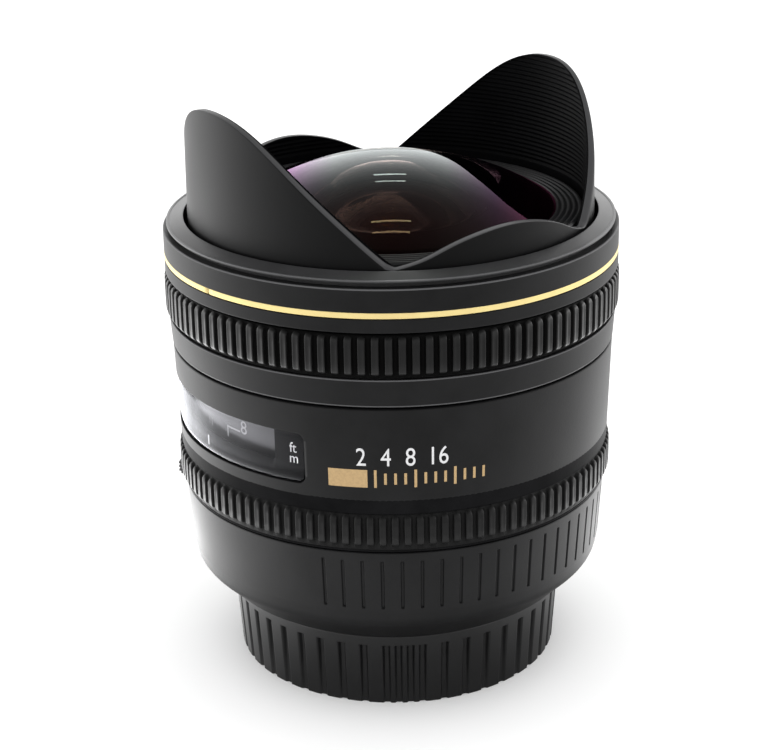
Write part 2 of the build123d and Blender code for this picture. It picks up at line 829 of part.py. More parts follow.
def motor_spring():
    """The wave washer under the stator: raised pads on a thin ring."""
    inner, outer = guide_outer + motor_inner_gap, main_inner - motor_outer_gap
    layer = spring_height / spring_layer_count
    upper = spring_height - layer
    washer = tube(inner, outer, shelf_top_z + layer, shelf_top_z + upper)
    pad = 360 / spring_wave_count * spring_pad_share
    for index, angle in enumerate(even_angles(spring_wave_count * 2)):
        low = shelf_top_z + (upper if index % 2 else 0)
        washer += sector(inner, outer, low, low + layer, angle, pad)
    return washer


def motor_stator():
    """The stator of the ring motor, toothed towards the rotor."""
    inner, outer = guide_outer + motor_inner_gap, main_inner - motor_outer_gap
    ring = tube(inner, outer, stator_z, rotor_z)
    cutters = [block(inner - overrun, outer + overrun, stator_slot_width, rotor_z - stator_slot_depth,
                     rotor_z + overrun, angle) for angle in even_angles(stator_tooth_count)]
    return ring - cutters


def motor_rotor():
    """The rotor of the ring motor, which the rollers run on."""
    inner, outer = guide_outer + motor_inner_gap, main_inner - motor_outer_gap
    return tube(inner, outer, rotor_z, rotor_z + rotor_height)


def inner_barrel():
    """The fixed barrel that the focus ring turns on, slotted for its keys."""
    barrel = turned([(inner_barrel_inner, inner_barrel_z), (main_inner, inner_barrel_z),
                     (main_inner, main_top_z), (inner_barrel_outer, main_top_z),
                     (inner_barrel_outer, hood_seat_z), (inner_barrel_inner, hood_seat_z)])
    key_z = focus_bottom_z + focus_key_rise
    span = focus_back_angle + focus_on_angle + focus_key_sweep_angle + focus_slot_spare_angle
    for angle in key_angles():
        middle = angle + (focus_on_angle - focus_back_angle) / 2
        barrel -= sector(inner_barrel_inner - overrun, inner_barrel_outer + overrun, key_z - focus_key_gap,
                         key_z + focus_key_height + focus_key_gap, middle, span)
    return barrel


def focus_ring():
    """The focus ring: a plain band, a dark groove and the rubber's seat, with key pockets inside."""
    ring = turned([(focus_inner, focus_bottom_z), (focus_bottom_radius - seam, focus_bottom_z),
                   (focus_bottom_radius, focus_bottom_z + seam), (focus_band_radius, focus_band_z),
                   (focus_groove_radius, focus_band_z), (focus_groove_radius, focus_top_z),
                   (focus_inner, focus_top_z)])
    key_z = focus_bottom_z + focus_key_rise
    for angle in key_angles():
        ring -= sector(focus_inner - overrun, focus_inner + focus_key_reach, key_z, key_z + focus_key_height,
                       angle, focus_key_sweep_angle)
    return ring


def focus_rubber():
    """The ribbed rubber sleeve on the focus ring."""
    return ribbed_band(focus_groove_radius, focus_rubber_radius, focus_rubber_z, focus_top_z,
                       focus_rib_count)


def front_barrel():
    """The front shell, with a groove for the gold ring and a seat for the hood and rim."""
    gold_z = front_bottom_z + gold_rise
    return turned([(inner_barrel_outer, front_bottom_z), (front_radius, front_bottom_z),
                   (front_radius, gold_z - gold_shadow_height),
                   (front_radius - gold_depth, gold_z - gold_shadow_height),
                   (front_radius - gold_depth, gold_z + gold_height), (front_radius, gold_z + gold_height),
                   (front_radius, front_top_z - front_chamfer), (front_radius - front_chamfer, front_top_z),
                   (front_seat_radius, front_top_z), (front_seat_radius, hood_seat_z + hood_foot_height),
                   (inner_barrel_outer, hood_seat_z + hood_foot_height)])


def gold_ring():
    """The thin gold ring laid into the front barrel."""
    gold_z = front_bottom_z + gold_rise
    return tube(front_radius - gold_depth, front_radius, gold_z, gold_z + gold_height)


def front_rim_ring():
    """The ring at the front: a skirt that clamps the hood's foot, and a sloping face."""
    clamp_z = hood_seat_z + hood_foot_height
    return turned([(front_seat_radius - rim_skirt_wall, clamp_z), (front_seat_radius, clamp_z),
                   (front_seat_radius, rim_bottom_z), (rim_outer_radius, rim_bottom_z),
                   (rim_outer_radius, rim_edge_z), (rim_inner_radius, rim_top_z),
                   (rim_inner_radius, rim_bottom_z), (front_seat_radius - rim_skirt_wall, rim_bottom_z)])


def petal_prism(half_width, height, shares, length):
    """The slab under a petal pair's outline, which is one smooth curve over the tips."""
    left = [(-half_width * across, notch_z + height * up) for across, up in reversed(shares[1:])]
    right = [(half_width * across, notch_z + height * up) for across, up in shares]
    curve = Spline(*(left + right))
    base = Polyline(right[-1], (half_width, hood_seat_z), (-half_width, hood_seat_z), left[0])
    face = make_face(curve + base)
    return extrude(Plane.XZ * face, length, both=True)


def petal_hood():
    """The hood: a thin grooved wall cut to two tall and two short petals, on a clamped foot."""
    tip_z = notch_z + tall_petal_height + overrun
    lower = notch_z + hood_groove_rise
    inner = hood_inner_radius
    outline = [(inner, hood_seat_z), (hood_foot_radius, hood_seat_z),
               (hood_foot_radius, hood_seat_z + hood_foot_height),
               (hood_outer_radius, hood_seat_z + hood_foot_height), (hood_outer_radius, notch_z),
               (hood_tip_radius, tip_z), (inner, tip_z)]
    for index in reversed(range(hood_groove_count)):
        low = lower + index * hood_groove_pitch
        outline += [(inner, low + hood_groove_height),
                    (inner + hood_groove_depth, low + hood_groove_height / 2), (inner, low)]
    wall = turned(outline)
    tall = petal_prism(tall_petal_half_width, tall_petal_height, tall_petal_shares, hood_foot_radius)
    short = Rot(0, 0, 90) * petal_prism(short_petal_half_width, short_petal_height, short_petal_shares,
                                        hood_foot_radius)
    base = disc(hood_foot_radius + overrun, hood_seat_z, notch_z)
    return wall & (tall + short + base)


def sag(face_radius, distance):
    """How far a ball face falls away from its middle at a distance from the axis."""
    drop = abs(face_radius) - math.sqrt(face_radius ** 2 - distance ** 2)
    return math.copysign(drop, face_radius)


def glass_groups():
    """The elements of each group: those with no gap between them are cemented together."""
    groups = [[]]
    for index, gap in enumerate(glass_gaps):
        groups[-1].append(index)
        if gap > 0:
            groups.append([])
    return [group for group in groups if group]


def glass_tops():
    """The height of each element's front face on the axis."""
    heights = [dome_z]
    for thickness, gap in zip(glass_thicknesses, glass_gaps):
        heights.append(heights[-1] - thickness - gap)
    return heights


def front_edge(index):
    """The height of an element's front edge."""
    return glass_tops()[index] - sag(glass_front_radii[index], glass_half_diameters[index])


def glass_bowl(index):
    """How far out an element's back face curves before its flat land."""
    bowls = {first_glass: front_bowl_radius, second_glass: second_bowl_radius}
    return bowls.get(index, glass_half_diameters[index])


def back_edge(index):
    """The height of an element's back edge, or of its land where it has one."""
    back = glass_tops()[index] - glass_thicknesses[index]
    return back - sag(glass_back_radii[index], glass_bowl(index))


def glass_element(index):
    """One glass element, turned from the profile of its two ball faces."""
    top = glass_tops()[index]
    back = top - glass_thicknesses[index]
    half, bowl = glass_half_diameters[index], glass_bowl(index)
    front_face, back_face = glass_front_radii[index], glass_back_radii[index]
    lines = [ThreePointArc((0, top), (half / 2, top - sag(front_face, half / 2)), (half, front_edge(index))),
             Line((half, front_edge(index)), (half, back_edge(index)))]
    if bowl < half:
        lines.append(Line((half, back_edge(index)), (bowl, back_edge(index))))
    half_way = (bowl / 2, back - sag(back_face, bowl / 2))
    lines.append(ThreePointArc((bowl, back_edge(index)), half_way, (0, back)))
    lines.append(Line((0, back), (0, top)))
    return revolve(Plane.XZ * make_face(lines), Axis.Z)


def front_retaining_ring():
    """The ridged ring round the front glass."""
    low = ring_top_z - retaining_ring_height
    inner, outer = glass_half_diameters[first_glass], unit_head_radius
    outline = [(inner, low), (outer, low), (outer, ring_top_z - retaining_ridge_height)]
    pitch = (outer - inner) / retaining_ridge_count
    for index in reversed(range(retaining_ridge_count)):
        start = inner + index * pitch
        outline += [(start + pitch / 2, ring_top_z), (start, ring_top_z - retaining_ridge_height)]
    return turned(outline)


def front_cell():
    """The sliding tube of the optical unit, with a head that holds the front glass."""
    shelf = back_edge(first_glass)
    inner = optics_radius - cell_wall
    bore = glass_half_diameters[first_glass]
    lip = bore - cell_shelf_width
    tube_end = head_bottom_z - cell_tube_length
    cell = turned([(inner, tube_end), (optics_radius, tube_end), (optics_radius, head_bottom_z),
                   (unit_head_radius, head_bottom_z),
                   (unit_head_radius, head_top_z), (bore, head_top_z), (bore, shelf), (lip, shelf),
                   (lip, shelf - cell_shelf_drop), (inner, shelf - cell_shelf_drop - cell_shelf_width)])
    for angle in even_angles(follower_count, follower_angle):
        cell -= radial_pin(follower_radius, inner - overrun, optics_radius + overrun, follower_height, angle)
    return cell


def cam_followers():
    """The pins that pass through the straight slots into the helical slots."""
    inner = optics_radius - cell_wall
    return Compound([radial_pin(follower_radius, inner, cam_outer, follower_height, angle)
                     for angle in even_angles(follower_count, follower_angle)])


def iris_cover_z():
    """The height of the underside of the iris cover."""
    return back_edge(sixth_glass) - seam - iris_cover_thickness


def iris_ring_z():
    """The height of the underside of the iris ring."""
    return iris_cover_z() - seam - iris_ring_thickness


def iris_blades_z():
    """The height of the lowest blade's underside."""
    stack = (blade_count - 1) * blade_pitch + blade_thickness
    return iris_ring_z() - iris_level_gap - stack


def iris_floor_z():
    """The height of the top of the iris housing's floor."""
    return iris_blades_z() - iris_level_gap


def gear_centre():
    """The distance from the axis to the pinion's."""
    return gear_module * (ring_gear_teeth + pinion_teeth) / 2


def housing_bore():
    """The inside radius of the iris housing, clear of the ring's teeth."""
    return gear_module * ring_gear_teeth / 2 + gear_module + seam


def middle_cell():
    """The stepped cell that holds elements two to six and closes the iris housing."""
    ring, cover = iris_ring_z(), iris_cover_z()
    cover_top = cover + iris_cover_thickness
    lip_outer = iris_ring_inner_radius - running_fit
    bores = [glass_half_diameters[sixth_glass], glass_half_diameters[fourth_glass],
             glass_half_diameters[second_glass]]
    seat = back_edge(sixth_glass)
    fourth_back = glass_tops()[fourth_glass] - glass_thicknesses[fourth_glass]
    second_seat = fourth_back - sag(glass_back_radii[fourth_glass], bores[0])
    third_seat = back_edge(second_glass)
    second_top = front_edge(second_glass) + seam
    third_top = front_edge(third_glass) + seam
    web = second_seat + (third_seat - second_seat) * middle_web_share
    stop = bores[0] - middle_stop_width
    outline = [(lip_outer - iris_lip_width, ring), (lip_outer, ring), (lip_outer, cover),
               (housing_bore() + iris_wall, cover), (housing_bore() + iris_wall, cover_top),
               (bores[0] + middle_wall, cover_top), (bores[0] + middle_wall, second_seat - middle_wall),
               (bores[1] + middle_wall, second_seat - middle_wall), (bores[1] + middle_wall, web),
               (optics_radius - cell_wall, web), (optics_radius - cell_wall, web + middle_web_thickness),
               (bores[2] + middle_wall, web + middle_web_thickness),
               (bores[2] + middle_wall, second_top), (bores[2], second_top), (bores[2], third_seat),
               (bores[1] + seam, third_seat), (bores[1] + seam, third_top), (bores[1], third_top),
               (bores[1], second_seat), (bores[0], second_seat),
               (bores[0], seat), (stop, seat), (stop, cover), (lip_outer - iris_lip_width, cover)]
    return turned(outline)


def iris_housing():
    """The cup that the blades pivot in, with an ear for the motor."""
    floor_top, cover = iris_floor_z(), iris_cover_z()
    floor = floor_top - iris_floor_thickness
    bore = housing_bore()
    cup = turned([(iris_opening_radius, floor), (bore + iris_wall, floor), (bore + iris_wall, cover),
                  (bore, cover), (bore, floor_top), (iris_opening_radius, floor_top)])
    cup += post(ear_radius, floor, floor_top, gear_centre(), pinion_angle) - disc(bore, floor, floor_top)
    tip = gear_module * (pinion_teeth / 2 + 1) + seam
    cup -= post(tip, floor_top, cover + overrun, gear_centre(), pinion_angle)
    cup -= post(pinion_shaft_radius + running_fit, floor - overrun, floor_top + overrun, gear_centre(),
                pinion_angle)
    for angle in even_angles(blade_count):
        cup -= post(iris_pin_radius + iris_pin_clearance, floor - overrun, floor_top + overrun,
                    blade_pivot_radius, angle)
    return cup


def drive_pin_place(swing):
    """Where a blade's drive pin is, in the plane of the iris, once the blade has swung."""
    start = Vector(*polar(drive_pin_radius, -drive_pin_lag_angle), 0) - Vector(blade_pivot_radius, 0, 0)
    return Vector(blade_pivot_radius, 0, 0) + start.rotate(Axis.Z, swing)


def iris_slot_path():
    """The drive pin's path as the ring sees it, so that both turn at a constant ratio."""
    points = []
    for share in slot_path_shares:
        place = drive_pin_place(blade_swing_angle * share)
        points.append(place.rotate(Axis.Z, iris_turn_angle * share))
    return ThreePointArc(*points)


def involute(angle):
    """The involute function of a pressure angle in radians."""
    return math.tan(angle) - angle


def gear_tooth(teeth, middle, addendum):
    """A tooth's outline: involute flanks from the root to the tip, thinned by the backlash."""
    pitch_radius = gear_module * teeth / 2
    pressure = math.radians(gear_pressure_angle)
    base = pitch_radius * math.cos(pressure)
    root, tip = pitch_radius - gear_module * gear_root_share, pitch_radius + addendum
    half_pitch = (math.pi * gear_module / 4 - gear_backlash / 2) / pitch_radius
    flank = []
    for share in flank_shares:
        radius = root + (tip - root) * share
        angle = math.acos(min(1.0, base / max(radius, base)))
        flank.append((radius, half_pitch + involute(pressure) - involute(angle)))
    flank.insert(0, (root - gear_module * gear_root_overlap_share, flank[0][1]))
    points = [polar(radius, middle - math.degrees(half)) for radius, half in flank]
    points += [polar(radius, middle + math.degrees(half)) for radius, half in reversed(flank)]
    return make_face(Polyline(*points, close=True))


def iris_ring():
    """The flat ring that drives the blades, with a short run of gear teeth on its edge."""
    root = gear_module * (ring_gear_teeth / 2 - gear_root_share)
    face = Circle(root) - Circle(iris_ring_inner_radius)
    pitch = 360 / ring_gear_teeth
    for index in range(ring_gear_cut_teeth):
        middle = pinion_angle + (index - ring_gear_lead_teeth) * pitch
        face += gear_tooth(ring_gear_teeth, middle, gear_module * ring_gear_tip_share)
    slot = SlotArc(iris_slot_path(), (iris_pin_radius + iris_pin_clearance) * 2)
    for angle in even_angles(blade_count):
        face -= Rot(0, 0, angle) * slot
    return Pos(0, 0, iris_ring_z()) * extrude(face, iris_ring_thickness)


def iris_pinion():
    """The motor's pinion and shaft."""
    ring = iris_ring_z()
    face = Circle(gear_module * (pinion_teeth / 2 - gear_root_share))
    for angle in even_angles(pinion_teeth, 180 / pinion_teeth):
        face += gear_tooth(pinion_teeth, angle, gear_module)
    wheel = Pos(0, 0, ring) * extrude(face, iris_ring_thickness)
    shaft_end = iris_floor_z() - iris_floor_thickness - pinion_shaft_reach
    shaft = disc(pinion_shaft_radius, shaft_end, ring)
    return Rot(0, 0, pinion_angle) * Pos(gear_centre(), 0, 0) * (wheel + shaft)


def iris_motor():
    """The small motor under the housing's ear."""
    floor = iris_floor_z() - iris_floor_thickness
    can = post(iris_motor_radius, floor - iris_motor_length, floor, gear_centre(), pinion_angle)
    return can - post(pinion_shaft_radius + running_fit, floor - pinion_bore_depth, floor + overrun,
                      gear_centre(), pinion_angle)


def iris_blade(index):
    """A blade: a curved leaf with an eye at its pivot, a tail, and a pin up into the ring's slot."""
    level = iris_blades_z() + index * blade_pitch
    middle = (blade_inner_radius + blade_outer_radius) / 2
    width = blade_outer_radius - blade_inner_radius
    leaf = SlotArc(CenterArc((0, 0), middle, 0, blade_sweep_angle), width)
    drive = drive_pin_place(0)
    neck = SlotCenterToCenter(blade_pivot_radius - middle, blade_eye_radius * 2)
    neck = Pos((blade_pivot_radius + middle) / 2, 0) * neck
    reach = drive - Vector(blade_pivot_radius, 0, 0)
    tail = SlotCenterToCenter(reach.length, blade_eye_radius * 2)
    heading = math.degrees(math.atan2(reach.Y, reach.X))
    tail = Pos(blade_pivot_radius + reach.X / 2, reach.Y / 2) * Rot(0, 0, heading) * tail
    plate = Pos(0, 0, level) * extrude(leaf + neck + tail, blade_thickness)
    pivot = Pos(blade_pivot_radius, 0, 0) * disc(iris_pin_radius, iris_floor_z() - iris_floor_thickness / 2,
                                                level)
    pin = Pos(drive.X, drive.Y, 0) * disc(iris_pin_radius, level + blade_thickness,
                                          iris_ring_z() + iris_ring_thickness)
    return Rot(0, 0, 360 * index / blade_count) * (plate + pivot + pin)


def rear_cell():
    """The stepped tube that holds the elements behind the iris."""
    floor = iris_floor_z() - iris_floor_thickness
    bores = [glass_half_diameters[ninth_glass], glass_half_diameters[eleventh_glass],
             glass_half_diameters[last_glass]]
    outer = bores[2] + rear_cell_wall
    first_step = (back_edge(ninth_glass) + front_edge(tenth_glass)) / 2
    second_step = (back_edge(eleventh_glass) + front_edge(last_glass)) / 2
    end = back_edge(last_glass) - rear_cell_tail
    return turned([(bores[0], floor), (rear_cell_flange_radius, floor),
                   (rear_cell_flange_radius, floor - rear_cell_flange_thickness),
                   (outer, floor - rear_cell_flange_thickness), (outer, end), (bores[2], end),
                   (bores[2], second_step), (bores[1], second_step), (bores[1], first_step),
                   (bores[0], first_step)])


def make_parts():
    """Every node of the lens by its name."""
    parts = {"rear_cap": rear_cap(), "mount_bayonet": mount_bayonet(), "mount_screws": mount_screws(),
             "contact_block": contact_block(), "contact_pins": contact_pins(), "rear_baffle": rear_baffle(),
             "filter_holder": filter_holder(), "rear_barrel": rear_barrel(), "switch_plate": switch_plate(),
             "switch_knob": switch_knob(), "circuit_board": circuit_board(),
             "circuit_chips": circuit_chips(), "main_barrel": main_barrel(), "window_mask": window_mask(),
             "window_pane": window_pane(), "lower_grip_rubber": lower_grip_rubber(),
             "guide_sleeve": guide_sleeve(), "cam_ring": cam_ring(), "roller_cage": roller_cage(),
             "roller_axles": roller_axles(),
             "distance_scale_drum": distance_scale_drum(), "focus_drive_sleeve": focus_drive_sleeve(),
             "motor_spring": motor_spring(), "motor_stator": motor_stator(), "motor_rotor": motor_rotor(),
             "inner_barrel": inner_barrel(), "focus_ring": focus_ring(), "focus_rubber": focus_rubber(),
             "front_barrel": front_barrel(), "gold_ring": gold_ring(), "front_rim_ring": front_rim_ring(),
             "petal_hood": petal_hood(), "front_retaining_ring": front_retaining_ring(),
             "front_cell": front_cell(), "cam_followers": cam_followers(), "middle_cell": middle_cell(),
             "iris_housing": iris_housing(), "iris_ring": iris_ring(), "iris_pinion": iris_pinion(),
             "iris_motor": iris_motor(), "rear_cell": rear_cell()}
    for index, angle in enumerate(even_angles(roller_count, -follower_angle)):
        parts[f"roller_{index + 1}"] = roller(angle)
    for number, group in enumerate(glass_groups(), 1):
        parts[f"glass_group_{number}"] = Compound([glass_element(index) for index in group])
    for index in range(blade_count):
        parts[f"iris_blade_{index + 1}"] = iris_blade(index)
    return parts


os.makedirs("parts", exist_ok=True)
for name, shape in make_parts().items():
    export_step(shape, f"parts/{name}.step")
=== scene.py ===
"""Fisheye lens on its rear cap: moulded shells, rubber grips, petal hood and coated front glass."""

import enum  # noqa: E402
import json  # noqa: E402
import logging  # noqa: E402
import math  # noqa: E402
from dataclasses import dataclass, field  # noqa: E402

import bpy  # noqa: E402
import numpy as np  # noqa: E402
from mathutils import Matrix, Vector  # noqa: E402

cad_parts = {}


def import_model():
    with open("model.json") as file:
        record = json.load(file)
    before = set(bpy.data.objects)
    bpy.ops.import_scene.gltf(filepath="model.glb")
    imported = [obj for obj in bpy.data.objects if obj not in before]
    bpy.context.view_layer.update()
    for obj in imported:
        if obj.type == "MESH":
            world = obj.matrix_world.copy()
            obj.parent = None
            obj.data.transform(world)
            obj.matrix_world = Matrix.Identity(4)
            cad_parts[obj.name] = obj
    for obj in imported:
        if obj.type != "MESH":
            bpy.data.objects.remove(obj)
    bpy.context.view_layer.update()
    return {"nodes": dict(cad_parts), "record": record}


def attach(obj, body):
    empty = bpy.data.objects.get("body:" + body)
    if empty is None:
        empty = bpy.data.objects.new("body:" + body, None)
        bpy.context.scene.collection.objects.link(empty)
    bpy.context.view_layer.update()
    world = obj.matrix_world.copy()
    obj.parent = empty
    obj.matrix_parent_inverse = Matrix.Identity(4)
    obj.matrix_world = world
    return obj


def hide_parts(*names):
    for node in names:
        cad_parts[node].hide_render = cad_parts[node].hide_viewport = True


log = logging.getLogger("fisheye")
MM = 0.001
MERGE = 1e-4
# From an angle seen by the photograph's camera to the angle round the axis, in degrees
CAMERA_TURN = -33.69
# How far an angle may be out by rounding, in degrees
SLACK = 1e-3
Triple = tuple[float, float, float]
Colour = Triple
Pairs = tuple[tuple[float, float], ...]
Corners = list[Triple] | tuple[Triple, ...]
Values = np.ndarray | float
Socket = bpy.types.NodeSocket
Material = bpy.types.Material


class Body(enum.Enum):
    """The moving bodies that the pieces ride on."""

    BARREL = "barrel"
    FOCUS = "focus_unit"
    CAM = "cam_unit"
    OPTICS = "optics_unit"
    CAP = "rear_cap"


# Grids and outlines


def spaced(low: float, high: float, count: int) -> np.ndarray:
    """Evenly spaced values from low to high, both included."""
    return np.linspace(low, high, count)


def apart(angles: np.ndarray, middle: float | np.ndarray) -> np.ndarray:
    """How far angles are from a middle one, the shorter way round, in degrees."""
    return np.abs((angles - middle + 180) % 360 - 180)


def smooth_step(low: float, high: float, value: np.ndarray) -> np.ndarray:
    """Rises smoothly from 0 at low to 1 at high: 3t squared less 2t cubed."""
    share = np.clip((value - low) / (high - low), 0, 1)
    return share * share * (3 - 2 * share)


def round_angles(step: float, extra: np.ndarray | None = None, near: float = 0.12) -> np.ndarray:
    """Angles round a full turn, with extra ones kept exactly and plain ones dropped near them.

    Args:
        step: the plain step, in degrees.
        extra: angles that have to be there, in degrees.
        near: how near an extra angle a plain one may be, in degrees.

    Returns:
        Sorted angles, in radians.
    """
    plain = np.arange(0, 360, step)
    if extra is None:
        return np.radians(plain)
    extra = np.unique(np.round(np.mod(extra, 360), 5))
    gap = apart(plain[:, None], extra[None, :]).min(1)
    return np.radians(np.sort(np.concatenate([plain[gap > near], extra])))


def rounded_outline(points: Corners, steps: int = 4) -> np.ndarray:
    """Rounds the corners of a closed (radius, height) outline.

    Each corner becomes an arc tangent to both its sides: the points of a quadratic curve whose ends lie
    the corner's own distance along the sides. A further point stands just beyond each end of the arc, so
    that smooth shading turns within the arc and the sides stay flat.

    Args:
        points: radius, height and rounding of each corner, in millimetres.
        steps: how many pieces each arc has.

    Returns:
        The rounded outline as rows of radius and height.
    """
    most_share, support_share, most_support = 0.45, 0.04, 0.08
    corners = np.array(points, float)
    place, size = corners[:, :2], corners[:, 2]
    before, after = np.roll(place, 1, 0) - place, np.roll(place, -1, 0) - place
    long_before, long_after = np.linalg.norm(before, axis=1), np.linalg.norm(after, axis=1)
    shorter = np.minimum(long_before, long_after)
    reach, support = np.minimum(size, most_share * shorter), np.minimum(most_support, support_share * shorter)
    share = spaced(0, 1, steps + 1)[:, None]
    rows: list[np.ndarray] = []
    for index, corner in enumerate(place):
        to_before, to_after = before[index] / long_before[index], after[index] / long_after[index]
        start, end = corner + to_before * reach[index], corner + to_after * reach[index]
        arc = (1 - share) ** 2 * start + 2 * share * (1 - share) * corner + share**2 * end
        rows += [start + to_before * support[index], arc, end + to_after * support[index]]
    return np.vstack([np.atleast_2d(row) for row in rows])


def round_points(radius: Values, turn: Values, height: Values) -> np.ndarray:
    """Points from radius, angle in radians and height: radius times cosine, radius times sine, height."""
    radius, turn, height = np.broadcast_arrays(radius, turn, height)
    return np.stack([radius * np.cos(turn), radius * np.sin(turn), height], -1)


def turned_points(outline: np.ndarray, angles: np.ndarray) -> np.ndarray:
    """Carries an outline, or one for each angle, round the axis: a grid with a row for each angle."""
    return round_points(outline[..., 0], angles[:, None], outline[..., 1])


def fixed(points: list | tuple, count: int) -> np.ndarray:
    """The same points of an outline for each of so many angles."""
    return np.broadcast_to(np.array(points, float), (count, len(points), 2))


def border(sheet: np.ndarray) -> np.ndarray:
    """The points round the edge of a grid, in order."""
    return np.concatenate([sheet[0, :-1], sheet[:-1, -1], sheet[-1, :0:-1], sheet[:0:-1, 0]])


def grid_faces(rows: int, columns: int, rows_closed: bool, columns_closed: bool, start: int = 0) -> np.ndarray:
    """The quads of a grid of points, wrapped where a direction is closed.

    Args:
        rows: points along the first direction.
        columns: points along the second direction.
        rows_closed: whether the last row joins the first.
        columns_closed: whether the last column joins the first.
        start: index of the grid's first point.

    Returns:
        Rows of four point indices.
    """
    first = np.arange(rows if rows_closed else rows - 1)[:, None]
    second = np.arange(columns if columns_closed else columns - 1)[None, :]
    after, beside = (first + 1) % rows, (second + 1) % columns
    starts = ((first, second), (after, second), (after, beside), (first, beside))
    quads = [row * columns + column for row, column in starts]
    return np.stack([np.broadcast_to(q, (first.size, second.size)) for q in quads], -1).reshape(-1, 4) + start


@dataclass
class Surface:
    """Points and faces gathered from one or more grids, in millimetres."""

    points: list[np.ndarray] = field(default_factory=list)
    faces: list[np.ndarray] = field(default_factory=list)
    size: int = 0

    def add(self, grid: np.ndarray, rows_closed: bool = False, columns_closed: bool = False,
            flip: bool = False, keep: np.ndarray | None = None) -> "Surface":
        """Adds a grid of points and its quads.

        Args:
            grid: points as rows by columns by three.
            rows_closed: whether the last row joins the first.
            columns_closed: whether the last column joins the first.
            flip: whether the faces are turned round.
            keep: a mask of the quads that stay, or None for all.

        Returns:
            This surface.
        """
        rows, columns = grid.shape[:2]
        quads = grid_faces(rows, columns, rows_closed, columns_closed, self.size)
        if keep is not None:
            quads = quads[keep.ravel()]
        self.faces.append(quads[:, ::-1] if flip else quads)
        self.points.append(grid.reshape(-1, 3))
        self.size += rows * columns
        return self

    def turned(self, outline: np.ndarray, angles: np.ndarray) -> "Surface":
        """Adds a full turn of a closed outline."""
        return self.add(turned_points(outline, angles), rows_closed=True, columns_closed=True)

    def sector(self, outline: np.ndarray, angles: np.ndarray) -> "Surface":
        """Adds a part turn of a closed outline, with a lid on each end."""
        strip = turned_points(outline, angles)
        self.add(strip, columns_closed=True)
        for end, flip in ((strip[0], True), (strip[-1], False)):
            self.add(np.stack([end, np.broadcast_to(end.mean(0), end.shape)]), columns_closed=True, flip=flip)
        return self

    def mesh(self, name: str) -> bpy.types.Mesh:
        """Makes the mesh in metres, with doubled points merged and every face pointing outwards."""
        points = np.vstack(self.points)
        key = np.round(points / MERGE).astype(np.int64)
        _, first, same = np.unique(key, axis=0, return_index=True, return_inverse=True)
        quads = same.reshape(-1)[np.vstack(self.faces)]
        corners = [list(dict.fromkeys(quad)) for quad in quads.tolist()]
        mesh = bpy.data.meshes.new(name)
        mesh.from_pydata((points[first] * MM).tolist(), [], [corner for corner in corners if len(corner) > 2])
        mesh.validate()
        self.outwards(mesh)
        mesh.polygons.foreach_set("use_smooth", np.full(len(mesh.polygons), True))
        mesh.update()
        return mesh

    @staticmethod
    def outwards(mesh: bpy.types.Mesh) -> None:
        """Turns the whole mesh inside out where its signed volume is negative."""
        points = np.zeros(len(mesh.vertices) * 3)
        mesh.vertices.foreach_get("co", points)
        mesh.calc_loop_triangles()
        corners = np.zeros(len(mesh.loop_triangles) * 3, np.int64)
        mesh.loop_triangles.foreach_get("vertices", corners)
        a, b, c = (points.reshape(-1, 3)[corners.reshape(-1, 3)[:, k]] for k in range(3))
        if np.einsum("ij,ij->i", a, np.cross(b, c)).sum() < 0:
            mesh.flip_normals()


# Nodes of a finish


class Value:
    """A number in a material. A sum with it adds Math nodes, so a formula stands as it is read."""

    def __init__(self, nodes: "Nodes", socket: Socket) -> None:
        """Wraps a socket.

        Args:
            nodes: the tree that it belongs to.
            socket: where the number comes out.
        """
        self.nodes, self.socket = nodes, socket

    def sum(self, operation: str, other: "Value | float" = 0.0, swap: bool = False) -> "Value":
        """Adds a Math node.

        Args:
            operation: what it does.
            other: the second number.
            swap: whether the other number comes first.

        Returns:
            The result.
        """
        node = self.nodes.add("Math", operation=operation)
        for socket, value in zip(node.inputs, (other, self) if swap else (self, other)):
            self.nodes.give(socket, value)
        return Value(self.nodes, node.outputs[0])

    def __add__(self, other: "Value | float") -> "Value":
        """The two added."""
        return self.sum("ADD", other)

    def __sub__(self, other: "Value | float") -> "Value":
        """This less the other."""
        return self.sum("SUBTRACT", other)

    def __rsub__(self, other: float) -> "Value":
        """The other less this."""
        return self.sum("SUBTRACT", other, True)

    def __mul__(self, other: "Value | float") -> "Value":
        """The two multiplied."""
        return self.sum("MULTIPLY", other)

    def __truediv__(self, other: "Value | float") -> "Value":
        """This over the other."""
        return self.sum("DIVIDE", other)

    def above(self, other: float) -> "Value":
        """One where this is greater, else zero."""
        return self.sum("GREATER_THAN", other)

    def below(self, other: float) -> "Value":
        """One where this is less, else zero."""
        return self.sum("LESS_THAN", other)

    def between(self, low: float, high: float) -> "Value":
        """This, held from low to high."""
        return self.sum("MAXIMUM", low).sum("MINIMUM", high)


